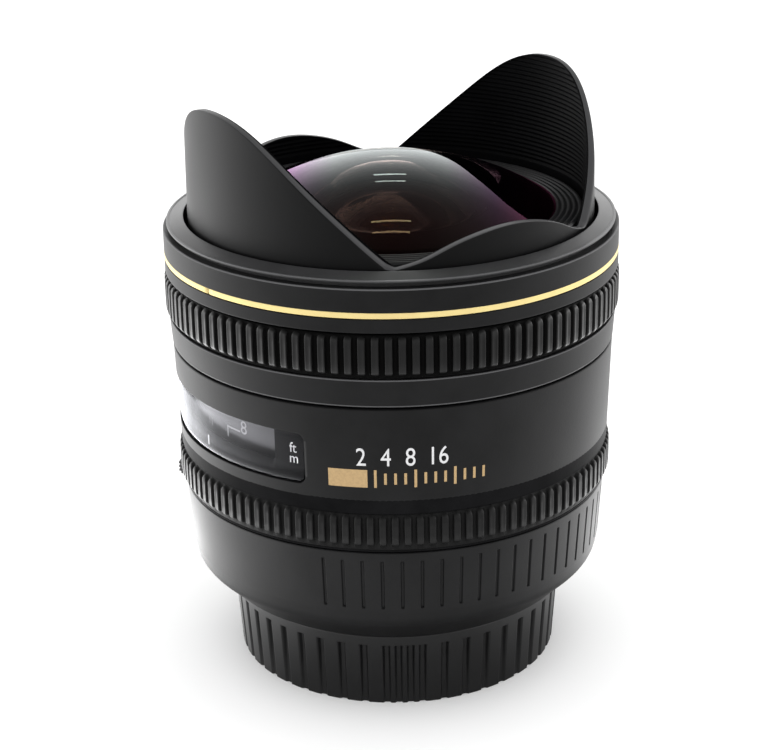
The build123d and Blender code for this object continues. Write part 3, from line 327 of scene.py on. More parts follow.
class Nodes:
    """A small helper that adds and joins the nodes of one material, or of a world."""

    def __init__(self, name: str, world: bpy.types.World | None = None) -> None:
        """Starts an empty tree.

        Args:
            name: the material's name.
            world: the world that the tree belongs to, if it isn't a material's.
        """
        self.owner = world or bpy.data.materials.new(name)
        self.owner.use_nodes = True
        self.tree = self.owner.node_tree
        self.tree.nodes.clear()
        self.output = self.add("OutputWorld" if world else "OutputMaterial")
        self.place = self.read("TexCoord", "Generated" if world else "Object").socket

    def add(self, kind: str, **settings: object) -> bpy.types.Node:
        """Adds a node and sets its properties."""
        node = self.tree.nodes.new("ShaderNode" + kind)
        for key, value in settings.items():
            setattr(node, key, value)
        return node

    def give(self, socket: Socket, value: object) -> None:
        """Joins a value to a socket, or sets the socket where the value is plain."""
        if isinstance(value, Value):
            value = value.socket
        if isinstance(value, Socket):
            self.tree.links.new(value, socket)
        elif socket.type == "RGBA":
            socket.default_value = (*value, 1.0)
        else:
            socket.default_value = value

    def read(self, kind: str, output: str | int, **inputs: object) -> Value:
        """A node's output, by name. Its inputs are named too, with a low line for each blank."""
        node = self.add(kind)
        for name, value in inputs.items():
            self.give(node.inputs[name.replace("_", " ")], value)
        return Value(self, node.outputs[output])

    def shader(self, kind: str, **inputs: object) -> Socket:
        """A shader's output, with its inputs given in the same way."""
        return self.read(kind, 0, **inputs).socket

    def along(self, vector: Socket, way: Triple) -> Value:
        """How far a vector reaches along a way: their dot product."""
        node = self.add("VectorMath", operation="DOT_PRODUCT")
        self.give(node.inputs[0], vector)
        node.inputs[1].default_value = way
        return Value(self, node.outputs["Value"])

    def split(self, vector: Socket) -> list[Value]:
        """A vector's three parts."""
        node = self.add("SeparateXYZ")
        self.give(node.inputs[0], vector)
        return [Value(self, part) for part in node.outputs]

    def polar(self) -> tuple[Value, Value]:
        """The distance from the axis and the height, in metres."""
        x, y, z = self.split(self.place)
        return (x * x + y * y).sum("SQRT"), z

    def noise(self, scale: float, detail: float = 3.0, rough: float = 0.5) -> Value:
        """Noise of a scale, in cells a metre, on the object's own coordinates."""
        return self.read("TexNoise", "Fac", Scale=scale, Detail=detail, Roughness=rough, Vector=self.place)

    def ramp(self, source: Value, stops: list[tuple[float, Colour]]) -> Socket:
        """Colours along a value.

        Args:
            source: the value.
            stops: place and colour of each stop.

        Returns:
            The colour.
        """
        node = self.add("ValToRGB")
        elements = node.color_ramp.elements
        while len(elements) < len(stops):
            elements.new(0.5)
        for element, (where, colour) in zip(elements, stops):
            element.position = where
            element.color = (*colour, 1.0)
        self.give(node.inputs["Fac"], source)
        return node.outputs["Color"]

    def steps(self, source: Value, stops: Pairs) -> Value:
        """Numbers along a value, straight between the stops."""
        return Value(self, self.ramp(source, [(where, (value,) * 3) for where, value in stops]))

    def clouds(self, colour: Colour, spread: float, noise: Value) -> Socket:
        """A colour that noise makes darker and lighter by a share."""
        low, high = (tuple(min(1.0, part * gain) for part in colour) for gain in (1 - spread, 1 + spread))
        return self.ramp(noise, [(0.3, low), (0.7, high)])

    def mixed(self, share: Value, first: Socket, second: Colour) -> Socket:
        """One colour turned to another by a share. The Mix node's colours are its sockets 6 and 7."""
        node = self.add("Mix", data_type="RGBA")
        for index, value in ((0, share), (6, first), (7, second)):
            self.give(node.inputs[index], value)
        return node.outputs[2]

    def blend(self, share: Value, first: Socket, second: Socket) -> Socket:
        """One shader turned to another by a share."""
        node = self.add("MixShader")
        for socket, value in zip(node.inputs, (share, first, second)):
            self.give(socket, value)
        return node.outputs[0]

    def bump(self, source: Value, distance: float, strength: float, under: Socket | None = None) -> Socket:
        """A bump from a height, in metres, over an earlier one."""
        inputs = {"Strength": strength, "Distance": distance, "Height": source}
        if under is not None:
            inputs["Normal"] = under
        return self.read("Bump", "Normal", **inputs).socket

    def surface(self, shader: Socket) -> Material:
        """Joins the shader to the output and gives the material."""
        self.give(self.output.inputs["Surface"], shader)
        return self.owner


# Finishes


@dataclass(frozen=True)
class MouldedPlastic:
    """Matte black shell: fine spark-eroded grain, faint cloudiness, and painted highlights on edges where there
    are any.

    The painted highlights are pale bands from a low to a high height, beyond a least radius. Above cut_above,
    whatever faces upwards beyond matt_within gets the same painted highlight, as if lit from above.
    """

    name: str
    colour: Colour = (0.0062, 0.0062, 0.0067)
    roughness: float = 0.48
    specular: float = 0.42
    cloud: float = 0.28
    grain: float = 5200.0
    grain_depth: float = 1.2e-5
    matt_within: float = 0.0
    matt_share: float = 0.08
    edges: tuple[Triple, ...] = ()
    cut_above: float = 0.0
    # Colour of the painted highlights on edge bands and upward faces
    painted_highlight_and_wear: Colour = (0.075, 0.075, 0.078)
    coarse_grain: float = 0.35
    coarse_depth: float = 1.6
    strengths: tuple[float, float] = (0.5, 0.8)
    cloud_scale: float = 140.0
    smear_scale: float = 45.0
    smear: float = 0.16

    def material(self) -> Material:
        """Builds the finish: colour from clouds with painted highlights on edges and upward faces, roughness
        from smears, bump from two grains.
        """
        nodes = Nodes(self.name)
        radius, height = nodes.polar()
        base = nodes.clouds(self.colour, self.cloud, nodes.noise(self.cloud_scale, 4.0, 0.6))
        # Painted highlight: each edge band is turned pale, as if it caught the light
        for low, high, least in self.edges:
            lit = height.above(low * MM) * height.below(high * MM) * radius.above(least * MM)
            base = nodes.mixed(lit, base, self.painted_highlight_and_wear)
        # Painted highlight: faces that point upwards are turned pale, as if lit from above
        if self.cut_above:
            upwards = nodes.split(nodes.read("TexCoord", "Normal").socket)[2].above(0.4)
            cut = height.above(self.cut_above * MM) * radius.above(self.matt_within * MM)
            base = nodes.mixed(upwards * cut, base, self.painted_highlight_and_wear)
        shine: Value | float = self.specular
        if self.matt_within:
            outside = radius.above(self.matt_within * MM)
            shine = (outside * (1 - self.matt_share) + self.matt_share) * self.specular
        smear = (nodes.noise(self.smear_scale, 2.0) - 0.5) * self.smear
        coarse_noise = nodes.noise(self.grain * self.coarse_grain, 2.0, 0.6)
        coarse = nodes.bump(coarse_noise, self.grain_depth * self.coarse_depth, self.strengths[0])
        fine = nodes.bump(nodes.noise(self.grain, 2.0, 0.7), self.grain_depth, self.strengths[1], coarse)
        return nodes.surface(nodes.shader("BsdfPrincipled", Base_Color=base, Roughness=smear + self.roughness,
                                          Specular_IOR_Level=shine, Normal=fine))


@dataclass(frozen=True)
class GripRubber:
    """Black rubber: soft sheen on rounded ribs, dull in the valleys, with small moulding specks."""

    name: str
    valley_radius: float
    top_radius: float
    colour: Colour = (0.0065, 0.0065, 0.0066)
    roughness: float = 0.36
    specular: float = 0.5
    valley_shine: float = 0.55
    dust: Colour = (0.024, 0.024, 0.023)
    dust_share: float = 0.75
    speck_scale: float = 1500.0
    speck_limit: float = 0.74
    valley_rough: float = 0.22
    rise: float = 1.4
    grains: tuple[Triple, Triple] = ((900.0, 2.4e-5, 0.5), (4200.0, 8e-6, 0.6))

    def material(self) -> Material:
        """Builds the finish: dust in specks, tops smoother and shinier than valleys, bump from two grains."""
        nodes = Nodes(self.name)
        height = (nodes.polar()[0] - self.valley_radius * MM) / ((self.top_radius - self.valley_radius) * MM)
        specks = nodes.noise(self.speck_scale, 2.0).above(self.speck_limit)
        base = nodes.ramp(specks * self.dust_share, [(0.0, self.colour), (1.0, self.dust)])
        shine = (height * self.rise).between(self.valley_shine, 1.0) * self.specular
        (coarse_scale, coarse_depth, coarse_strength), (fine_scale, fine_depth, fine_strength) = self.grains
        coarse = nodes.bump(nodes.noise(coarse_scale, 3.0, 0.6), coarse_depth, coarse_strength)
        fine = nodes.bump(nodes.noise(fine_scale, 2.0, 0.6), fine_depth, fine_strength, coarse)
        rough = (1.0 - height) * self.valley_rough + self.roughness
        return nodes.surface(nodes.shader("BsdfPrincipled", Base_Color=base, Roughness=rough,
                                          Specular_IOR_Level=shine, Normal=fine))


@dataclass(frozen=True)
class TurnedMetal:
    """Bare or anodised metal with fine lines left by the lathe and a slow change of tone."""

    name: str
    colour: Colour
    roughness: float = 0.3
    metallic: float = 1.0
    lines: float = 9000.0
    line_depth: float = 2.0e-6
    variation: float = 0.12
    wear: float = 0.14

    def material(self) -> Material:
        """Builds the finish: bands along the height and radius, and cloudy colour and wear."""
        nodes = Nodes(self.name)
        base = nodes.clouds(self.colour, self.variation, nodes.noise(160.0))
        radius, height = nodes.polar()
        lines = ((radius + height) * (self.lines * math.tau)).sum("SINE")
        painted_highlight_and_wear = (nodes.noise(320.0) - 0.5) * self.wear
        return nodes.surface(nodes.shader("BsdfPrincipled", Base_Color=base, Metallic=self.metallic,
                                          Roughness=painted_highlight_and_wear + self.roughness,
                                          Normal=nodes.bump(lines, self.line_depth, 0.5)))


@dataclass(frozen=True)
class CoatedGlass:
    """Polished glass whose coating mirrors neutral along the middle, purple to magenta at both sides, and
    brown-red low at the front."""

    name: str
    tint: Colour = (0.88, 0.76, 0.73)
    ior: float = 1.6
    middle: Colour = (0.93, 0.98, 0.98)
    beside: Colour = (0.68, 0.43, 0.70)
    edge: Colour = (0.95, 0.24, 0.50)
    front: Colour = (1.0, 0.50, 0.46)
    places: Triple = (0.35, 0.64, 0.9)
    coating: float = 0.72
    side_gain: float = 1.0
    inner_share: float = 1.0
    inner_fade: float = 1.6
    reach: float = 26.0
    front_starts: float = -10.0
    front_span: float = 11.0
    back_span: float = 18.0
    across: Triple = (0.5548, 0.8320, 0.0)
    behind: Triple = (-0.8320, 0.5548, 0.0)
    light_passes: Colour = (0.16, 0.15, 0.15)

    def material(self) -> Material:
        """Builds the finish: refraction under a mirror that grows with the slant; light passes it unbent."""
        nodes = Nodes(self.name)
        inside = nodes.shader("BsdfRefraction", Color=self.tint, IOR=self.ior, Roughness=0.0)
        share = (nodes.along(nodes.place, self.across) / (self.reach * MM)).sum("ABSOLUTE")
        stops = [(0.0, self.middle), *zip(self.places, (self.middle, self.beside, self.edge))]
        side = nodes.ramp(share, stops)
        far = nodes.along(nodes.place, self.behind)
        close = ((far - self.front_starts * MM) / (-self.front_span * MM)).between(0.0, 1.0)
        colour = nodes.mixed(close * (1.0 - share).sum("MAXIMUM"), side, self.front)
        mirror = nodes.shader("BsdfGlossy", Color=colour, Roughness=0.02)
        outer = share * share * (self.side_gain * self.coating) + self.coating
        depth = (far / (self.back_span * MM) + 0.5).between(0.0, 1.0)
        inner = (1.0 - share * self.inner_fade).sum("MAXIMUM") * self.inner_share * depth
        back = nodes.read("NewGeometry", "Backfacing")
        weight = outer * (1.0 - back) + inner * back
        glass = nodes.blend(nodes.read("Fresnel", 0, IOR=self.ior) * weight, inside, mirror)
        through = nodes.shader("BsdfTransparent", Color=self.light_passes)
        shadow, diffuse = (nodes.read("LightPath", f"Is {kind} Ray") for kind in ("Shadow", "Diffuse"))
        return nodes.surface(nodes.blend(shadow.sum("MAXIMUM", diffuse), glass, through))


@dataclass(frozen=True)
class ClearPane:
    """Moulded clear window: mostly see-through, with a faint sheen that grows with the slant."""

    name: str = "clear_window"
    passes: Colour = (0.90, 0.90, 0.91)
    sheen: Colour = (0.95, 0.96, 1.0)
    shares: Pairs = ((0.0, 0.03), (0.3, 0.035), (0.5, 0.06), (0.7, 0.17), (0.82, 0.36), (1.0, 0.8))

    def material(self) -> Material:
        """Builds the finish: a see-through sheet under a weak mirror, on front faces only."""
        nodes = Nodes(self.name)
        share = nodes.steps(nodes.read("LayerWeight", "Facing", Blend=0.5), self.shares)
        seen = share * (1.0 - nodes.read("NewGeometry", "Backfacing"))
        return nodes.surface(nodes.blend(seen, nodes.shader("BsdfTransparent", Color=self.passes),
                                         nodes.shader("BsdfGlossy", Color=self.sheen, Roughness=0.04)))


@dataclass(frozen=True)
class PlainPaint:
    """Pad-printed paint on the barrel or the scale: a slightly uneven coat."""

    name: str
    colour: Colour
    roughness: float = 0.45
    thin_share: float = 0.88

    def material(self) -> Material:
        """Builds the finish: noise thins the colour."""
        nodes = Nodes(self.name)
        thin = tuple(part * self.thin_share for part in self.colour)
        base = nodes.ramp(nodes.noise(2600.0, 2.0), [(0.35, thin), (0.6, self.colour)])
        return nodes.surface(nodes.shader("BsdfPrincipled", Base_Color=base, Roughness=self.roughness))


FINISHES = (
    MouldedPlastic("shell_black"),
    MouldedPlastic("barrel_black", matt_within=36.38),
    # front_black, band_black and rim_black carry painted highlights on their edge bands
    MouldedPlastic("front_black", edges=((75.8, 76.05, 37.35),)),
    MouldedPlastic("band_black", edges=((56.9, 57.12, 36.7), (61.2, 61.5, 37.1))),
    MouldedPlastic("cap_black", (0.0045, 0.0045, 0.0049), 0.38, 0.85, 0.22, 3600.0, 0.9e-5),
    MouldedPlastic("flat_black", (0.0025, 0.0025, 0.0029), 0.6, 0.25, 0.2, grain_depth=1e-5),
    MouldedPlastic("mask_black", (0.0025, 0.0025, 0.0029), 0.5, 0.3, 0.12, grain_depth=3e-7),
    # hood_black carries a painted highlight on the faces that point upwards above the notch
    MouldedPlastic("hood_black", (0.0018, 0.0018, 0.0021), 0.42, 0.40, 0.22, 7000.0, 0.8e-5, matt_within=32.36,
                   cut_above=77.55, painted_highlight_and_wear=(0.042, 0.042, 0.044)),
    MouldedPlastic("rim_black", (0.027, 0.027, 0.028), 0.36, 0.8, 0.22, 7000.0, 0.8e-5,
                   edges=((77.0, 77.3, 36.72),)),
    MouldedPlastic("ring_black", (0.006, 0.006, 0.0066), 0.34, 0.7, 0.22, 7000.0, 0.6e-5),
    MouldedPlastic("inner_brown", (0.011, 0.0048, 0.0038), 0.6, 0.2),
    MouldedPlastic("board_green", (0.012, 0.10, 0.035), 0.4),
    GripRubber("lower_rubber", 36.05, 36.8, (0.0055, 0.0055, 0.0056)),
    GripRubber("focus_rubber_black", 37.1, 37.85, (0.0022, 0.0022, 0.0022), 0.30, 0.85, 0.08),
    TurnedMetal("gold_satin", (1.0, 0.78, 0.34), 0.36, 0.40, 6000.0, 1e-6, 0.06),
    TurnedMetal("steel", (0.55, 0.55, 0.56)),
    TurnedMetal("mount_bright", (0.42, 0.42, 0.43), 0.34),
    TurnedMetal("contact_plate", (0.9, 0.68, 0.3), 0.25),
    TurnedMetal("alloy_grey", (0.30, 0.30, 0.31), 0.38),
    TurnedMetal("scale_film", (0.225, 0.225, 0.23), 0.34),
    TurnedMetal("blade_black", (0.03, 0.03, 0.032), 0.4, 0.6),
    CoatedGlass("coated_glass"),
    CoatedGlass("inner_glass", (0.80, 0.66, 0.58), 1.55, (0.8, 0.9, 0.84), (0.5, 0.4, 0.4), (0.4, 0.2, 0.2),
                coating=0.4, side_gain=0.0, inner_share=0.1),
    ClearPane(),
    PlainPaint("white_figures", (0.62, 0.62, 0.63)),
    PlainPaint("bright_figures", (0.95, 0.95, 0.95)),
    PlainPaint("gold_figures", (0.43, 0.29, 0.135)),
)
SLOTS = {
    "black_shell": "shell_black", "cap_plastic": "cap_black", "inner_black": "inner_brown",
    "grip_rubber": "lower_rubber", "black_metal": "flat_black", "gold": "gold_satin",
    "mount_metal": "mount_bright", "screw_steel": "steel", "contact_gold": "contact_plate",
    "board_green": "board_green", "chip_black": "flat_black", "clear_pane": "clear_window",
    "lens_glass": "inner_glass", "alloy": "alloy_grey", "scale_black": "scale_film",
    "blade_steel": "blade_black",
}


# Pieces


@dataclass
class Piece:
    """A finished piece: its name, the body it rides on, its record slot and the node it stands for."""

    name: str
    body: Body
    slot: str
    node: str

    def place(self, surface: Surface, finish: Material) -> bpy.types.Object:
        """Makes the piece from its surface and dresses it."""
        return self.bind(surface.mesh(self.name), finish)

    def turn(self, points: Corners, finish: Material, steps: int = 4) -> bpy.types.Object:
        """Makes the piece as a full turn of an outline with rounded corners, and dresses it."""
        return self.place(Surface().turned(rounded_outline(points, steps), round_angles(1.5)), finish)

    def bind(self, mesh: bpy.types.Mesh, finish: Material) -> bpy.types.Object:
        """Links a mesh as the piece's object, at the origin, dresses it and binds it to its body."""
        piece = bpy.data.objects.new(self.name, mesh)
        bpy.context.scene.collection.objects.link(piece)
        mesh.materials.append(finish)
        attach(piece, self.body.value)
        if self.node:
            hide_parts(self.node)
        log.info("%s: %d faces", self.name, len(mesh.polygons))
        return piece


@dataclass
class Flutes:
    """Narrow grooves along the axis, cut into the outer wall of a turned shell."""

    middles: np.ndarray
    width: float
    depth: float
    low: float
    high: float
    radius: float
    edge: float
    low_ease: float = 0.12
    high_ease: float = 0.2

    def angles(self) -> np.ndarray:
        """The columns that a groove needs: beyond each edge, through the edge's ease, and on the floor."""
        half, edge = (math.degrees(length / self.radius) for length in (self.width / 2, self.edge))
        sides = np.append(half + edge * np.array([1.6, 1.0, 0.4, 0.0, -0.5]), half * 0.3)
        offsets = np.concatenate([-sides, sides[::-1]])
        return (self.middles[:, None] + offsets[None, :]).ravel()

    def depths(self, angles: np.ndarray, heights: np.ndarray) -> np.ndarray:
        """How deep the shell is cut: a flat floor, eased at both edges and at both ends.

        Args:
            angles: columns, in radians.
            heights: rows, in millimetres.

        Returns:
            Depths, a row for each angle.
        """
        across = np.radians(apart(np.degrees(angles)[:, None], self.middles[None, :]).min(1)) * self.radius
        shape = 1 - smooth_step(self.width / 2 - self.edge * 0.3, self.width / 2 + self.edge, across)
        along = smooth_step(self.low - self.low_ease, self.low + self.low_ease, heights)
        along = along * (1 - smooth_step(self.high - self.high_ease, self.high + self.high_ease, heights))
        return self.depth * shape[:, None] * along[None, :]

    def cut(self, outline: np.ndarray, angles: np.ndarray, shares: np.ndarray) -> np.ndarray:
        """Turns an outline and moves its points towards the axis by the grooves' depth.

        Args:
            outline: rows of radius and height.
            angles: columns, in radians.
            shares: how much of the depth each row of the outline takes.

        Returns:
            A grid of points with a row for each angle.
        """
        grid = turned_points(outline, angles)
        depth = self.depths(angles, outline[:, 1]) * shares[None, :]
        radius = np.hypot(grid[..., 0], grid[..., 1])
        grid[..., :2] *= (1 - depth / np.maximum(radius, 1))[..., None]
        return grid


@dataclass
class RearCap:
    """The fluted cup that covers the mount: broad ribs, narrow grooves, a ringed floor and bayonet tabs."""

    height: float = 12.95
    bottom_radius: float = 27.5
    top_radius: float = 28.4
    inner_radius: float = 26.2
    floor: float = 1.6
    wall_levels: tuple[float, ...] = (
        0.35, 0.8, 2.0, 5.0, 8.0, 10.0, 10.6, 10.8, 10.9, 11.0, 11.1, 11.2, 11.4, 11.8, 12.3)
    base: Corners = ((0.0, 0.0, 0.0), (21.6, 0.0, 0.2), (21.9, 0.3, 0.2), (23.1, 0.3, 0.2), (23.4, 0.0, 0.2))
    groove_width: float = 0.85
    groove_depth: float = 0.85
    groove_edge: float = 0.26
    groove_top: float = 11.0
    grooved_wall: float = 0.8
    foot_share: float = 0.4
    full_below: float = 3.0
    count: int = 46
    first: float = -25.3
    step: float = 7.727
    narrow_step: float = 4.1
    tab: Corners = ((23.55, 11.3, 0.15), (26.3, 11.3, 0.05), (26.3, 12.8, 0.05), (23.55, 12.8, 0.15))
    tab_angles: tuple[float, ...] = (90.0, 210.0, 330.0)
    tab_half: float = 23.0

    def middles(self) -> np.ndarray:
        """The grooves' angles: evenly spaced, and two more that part three narrow ribs."""
        even = self.first + np.arange(self.count) * self.step
        return np.append(even, [self.first - self.narrow_step, self.first - 2 * self.narrow_step])

    def build(self, finish: Material) -> None:
        """Turns the cup, cuts its grooves, which grow deeper upwards, and adds the tabs."""
        slope = (self.top_radius - self.bottom_radius) / self.height
        outer = [(self.bottom_radius + slope * z, z, 0.0) for z in self.wall_levels]
        outline = rounded_outline(
            [*self.base, (self.bottom_radius, 0.0, 0.4), *outer, (self.top_radius, self.height, 0.35),
             (self.inner_radius, self.height, 0.3), (self.inner_radius, self.floor, 0.5),
             (0.0, self.floor, 0.0)], 3)
        flutes = Flutes(self.middles(), self.groove_width, self.groove_depth, -5.0, self.groove_top,
                        self.bottom_radius, self.groove_edge)
        rise = np.clip(outline[:, 1] / (self.groove_top - self.full_below), 0, 1)
        outside = outline[:, 0] > self.inner_radius + self.grooved_wall
        shares = (self.foot_share + (1 - self.foot_share) * rise) * outside
        grid = flutes.cut(outline, round_angles(4.0, flutes.angles(), 0.3), shares)
        surface = Surface().add(grid, rows_closed=True, columns_closed=True)
        for turn in self.tab_angles:
            around = np.radians(spaced(turn - self.tab_half, turn + self.tab_half, 24))
            surface.sector(rounded_outline(self.tab, 2), around)
        Piece("cap_cup", Body.CAP, "cap_plastic", "rear_cap").place(surface, finish)


@dataclass
class RearShell:
    """The rear barrel: bevel, knee, a band of fine grooves and the pocket of the focus switch."""

    edge_z: float = 13.75
    floor_z: float = 15.5
    bevel_z: float = 18.4
    knee_z: float = 21.0
    top_z: float = 31.75
    wall_levels: tuple[float, ...] = (
        21.3, 21.5, 21.62, 21.74, 21.9, 22.5, 23.85, 25.0, 27.0, 28.7, 29.5, 29.85, 29.98, 30.08, 30.18, 30.3,
        30.6, 31.25)
    edge_radius: float = 30.0
    bevel_radius: float = 34.7
    knee_radius: float = 35.2
    top_radius: float = 35.9
    mouth_radius: float = 24.0
    floor_radius: float = 29.25
    inner: float = 33.2
    seat_inner: float = 34.29
    seat_z: float = 29.65
    groove_first: float = -52.6
    groove_step: float = 5.1
    groove_count: int = 50
    groove_width: float = 0.4
    groove_depth: float = 0.34
    groove_low: float = 21.68
    groove_high: float = 30.1
    groove_radius: float = 35.3
    groove_edge: float = 0.12
    grooved_beyond: float = 34.9
    pocket_angle: float = -134.0
    pocket_sweep: float = 17.0
    pocket_low: float = 23.85
    pocket_high: float = 31.25
    pocket_floor: float = 33.3
    pocket_beyond: float = 35.0
    lining_shares: tuple[float, ...] = (0.0, 0.1, 0.9, 1.0)

    def outline(self) -> np.ndarray:
        """The shell's outline, with a cone from the knee to the top."""
        slope = (self.top_radius - self.knee_radius) / (self.top_z - self.knee_z)
        outer = [(self.knee_radius + slope * (z - self.knee_z), z, 0.0) for z in self.wall_levels]
        return rounded_outline(
            [(self.mouth_radius, self.edge_z, 0.2), (self.edge_radius, self.edge_z, 0.5),
             (self.bevel_radius, self.bevel_z, 2.2), (self.knee_radius, self.knee_z, 0.9), *outer,
             (self.top_radius, self.top_z, 0.22), (self.seat_inner, self.top_z, 0.1),
             (self.seat_inner, self.seat_z, 0.1), (self.inner, self.seat_z, 0.1),
             (self.inner, self.bevel_z, 1.0), (self.floor_radius, self.floor_z, 0.5),
             (self.mouth_radius, self.floor_z, 0.2)])

    def build(self, finish: Material) -> None:
        """Turns the shell, cuts the grooves, leaves the pocket's faces out and lines the pocket."""
        outline = self.outline()
        middles = self.groove_first + np.arange(self.groove_count) * self.groove_step
        flutes = Flutes(middles, self.groove_width, self.groove_depth, self.groove_low, self.groove_high,
                        self.groove_radius, self.groove_edge)
        sides = self.pocket_angle + np.array([-0.5, 0.5]) * self.pocket_sweep
        angles = round_angles(2.0, np.concatenate([flutes.angles(), sides]), 0.18)
        grid = flutes.cut(outline, angles, outline[:, 0] > self.grooved_beyond)
        turn = np.degrees(angles)
        middle = (turn + np.append(turn[1:], turn[0] + 360)) / 2
        columns = np.where(apart(middle, self.pocket_angle) < self.pocket_sweep / 2)[0]
        radius, height = ((outline + np.roll(outline, -1, 0)) / 2).T
        level = (height > self.pocket_low) & (height < self.pocket_high)
        rows = np.where(level & (radius > self.pocket_beyond))[0]
        keep = np.ones(grid.shape[:2], bool)
        keep[np.ix_(columns, rows)] = False
        surface = Surface().add(grid, rows_closed=True, columns_closed=True, keep=keep)
        mouth = grid[columns[0] : columns[-1] + 2, rows[0] : rows[-1] + 2]
        bed = mouth.copy()
        bed[..., :2] *= (self.pocket_floor / np.hypot(mouth[..., 0], mouth[..., 1]))[..., None]
        surface.add(bed)
        for lower, upper, flip in ((bed[:, 0], mouth[:, 0], False), (bed[:, -1], mouth[:, -1], True),
                                   (bed[0], mouth[0], True), (bed[-1], mouth[-1], False)):
            wall = [lower * (1 - share) + upper * share for share in self.lining_shares]
            surface.add(np.stack(wall), flip=flip)
        Piece("rear_shell", Body.BARREL, "black_shell", "rear_barrel").place(surface, finish)


@dataclass
class RibbedGrip:
    """A rubber band: rounded ribs along the axis, arched at their ends, on a band with two plain edges."""

    name: str
    body: Body
    node: str
    inner: float
    outer: float
    low: float
    high: float
    count: int
    rib_low: float
    rib_high: float
    depth: float = 0.75
    rib_share: float = 0.60
    flat_share: float = 0.76
    arch: float = 0.45
    dish: float = 0.12
    low_bevel: float = 0.05
    high_bevel: tuple[float, float] = (0.18, 0.16)

    def build(self, finish: Material) -> None:
        """Radius: the valley's, plus the rib's height times a rounded profile across and eased ends along."""
        pitch = 360 / self.count
        across = np.array([-1.0, -0.96, -0.88, -0.78, -0.5, 0.0, 0.5, 0.78, 0.88, 0.96, 1.0])
        half = self.rib_share * pitch / 2
        offsets = np.append(across * half, pitch / 2)
        middles = np.arange(self.count) * pitch
        angles = np.radians((middles[:, None] + offsets[None, :]).ravel())
        # The last column of each rib's set is the valley's middle, as low as the rib's edge
        across = np.tile(np.append(across, 1.0), self.count)
        bend = np.clip((np.abs(across) - self.flat_share) / (1 - self.flat_share), 0, 1)
        crown = np.sqrt(1 - bend**2) - self.dish * (1 - across**2)
        drop = self.arch * across**2
        shares = np.array([0.0, 0.03, 0.10, 0.35, 0.65, 0.90, 0.97, 1.0])
        lift = np.array([0.0, 0.62, 0.97, 1.0, 1.0, 0.97, 0.62, 0.0])
        rib_low, rib_high = self.rib_low + drop * 0.5, self.rib_high - drop
        heights = rib_low[:, None] + (rib_high - rib_low)[:, None] * shares[None, :]
        valley = self.outer - self.depth
        radii = valley + self.depth * crown[:, None] * lift[None, :]
        inwards, down = self.high_bevel
        bevel = self.low_bevel
        before = [(self.inner, self.low), (valley - bevel, self.low), (valley, self.low + bevel)]
        after = [(valley, self.high - down), (valley - inwards, self.high), (self.inner, self.high)]
        count = len(angles)
        ribs = np.stack([radii, heights], -1)
        outline = np.concatenate([fixed(before, count), ribs, fixed(after, count)], 1)
        surface = Surface().turned(outline, angles)
        Piece(self.name, self.body, "grip_rubber", self.node).place(surface, finish)


@dataclass
class WindowOutline:
    """The distance window's rounded rectangle, wrapped round the barrel."""

    middle_angle: float = -90.0
    sweep: float = 67.6
    low: float = 42.9
    high: float = 51.5
    corner: float = 1.3
    radius: float = 36.5
    plain_columns: int = 48

    def columns(self) -> np.ndarray:
        """Angles across the window in degrees, closer together in the rounded corners."""
        half = self.sweep / 2
        corner = math.degrees(self.corner / self.radius)
        ease = half - corner * (1 - np.sin(spaced(0, math.pi / 2, 9)))
        plain = spaced(-half + corner, half - corner, self.plain_columns)[1:-1]
        return self.middle_angle + np.concatenate([-ease[::-1], plain, ease])

    def heights(self, angle: np.ndarray) -> tuple[np.ndarray, np.ndarray]:
        """The lower and upper edge at an angle: straight, then a quarter circle at each corner.

        Args:
            angle: angles in degrees.

        Returns:
            The lower and the upper heights.
        """
        half = math.radians(self.sweep / 2) * self.radius
        away = np.radians(apart(angle, self.middle_angle)) * self.radius
        into = np.clip(away - (half - self.corner), 0, self.corner)
        rise = self.corner - np.sqrt(np.maximum(self.corner**2 - into**2, 0))
        return self.low + rise, self.high - rise


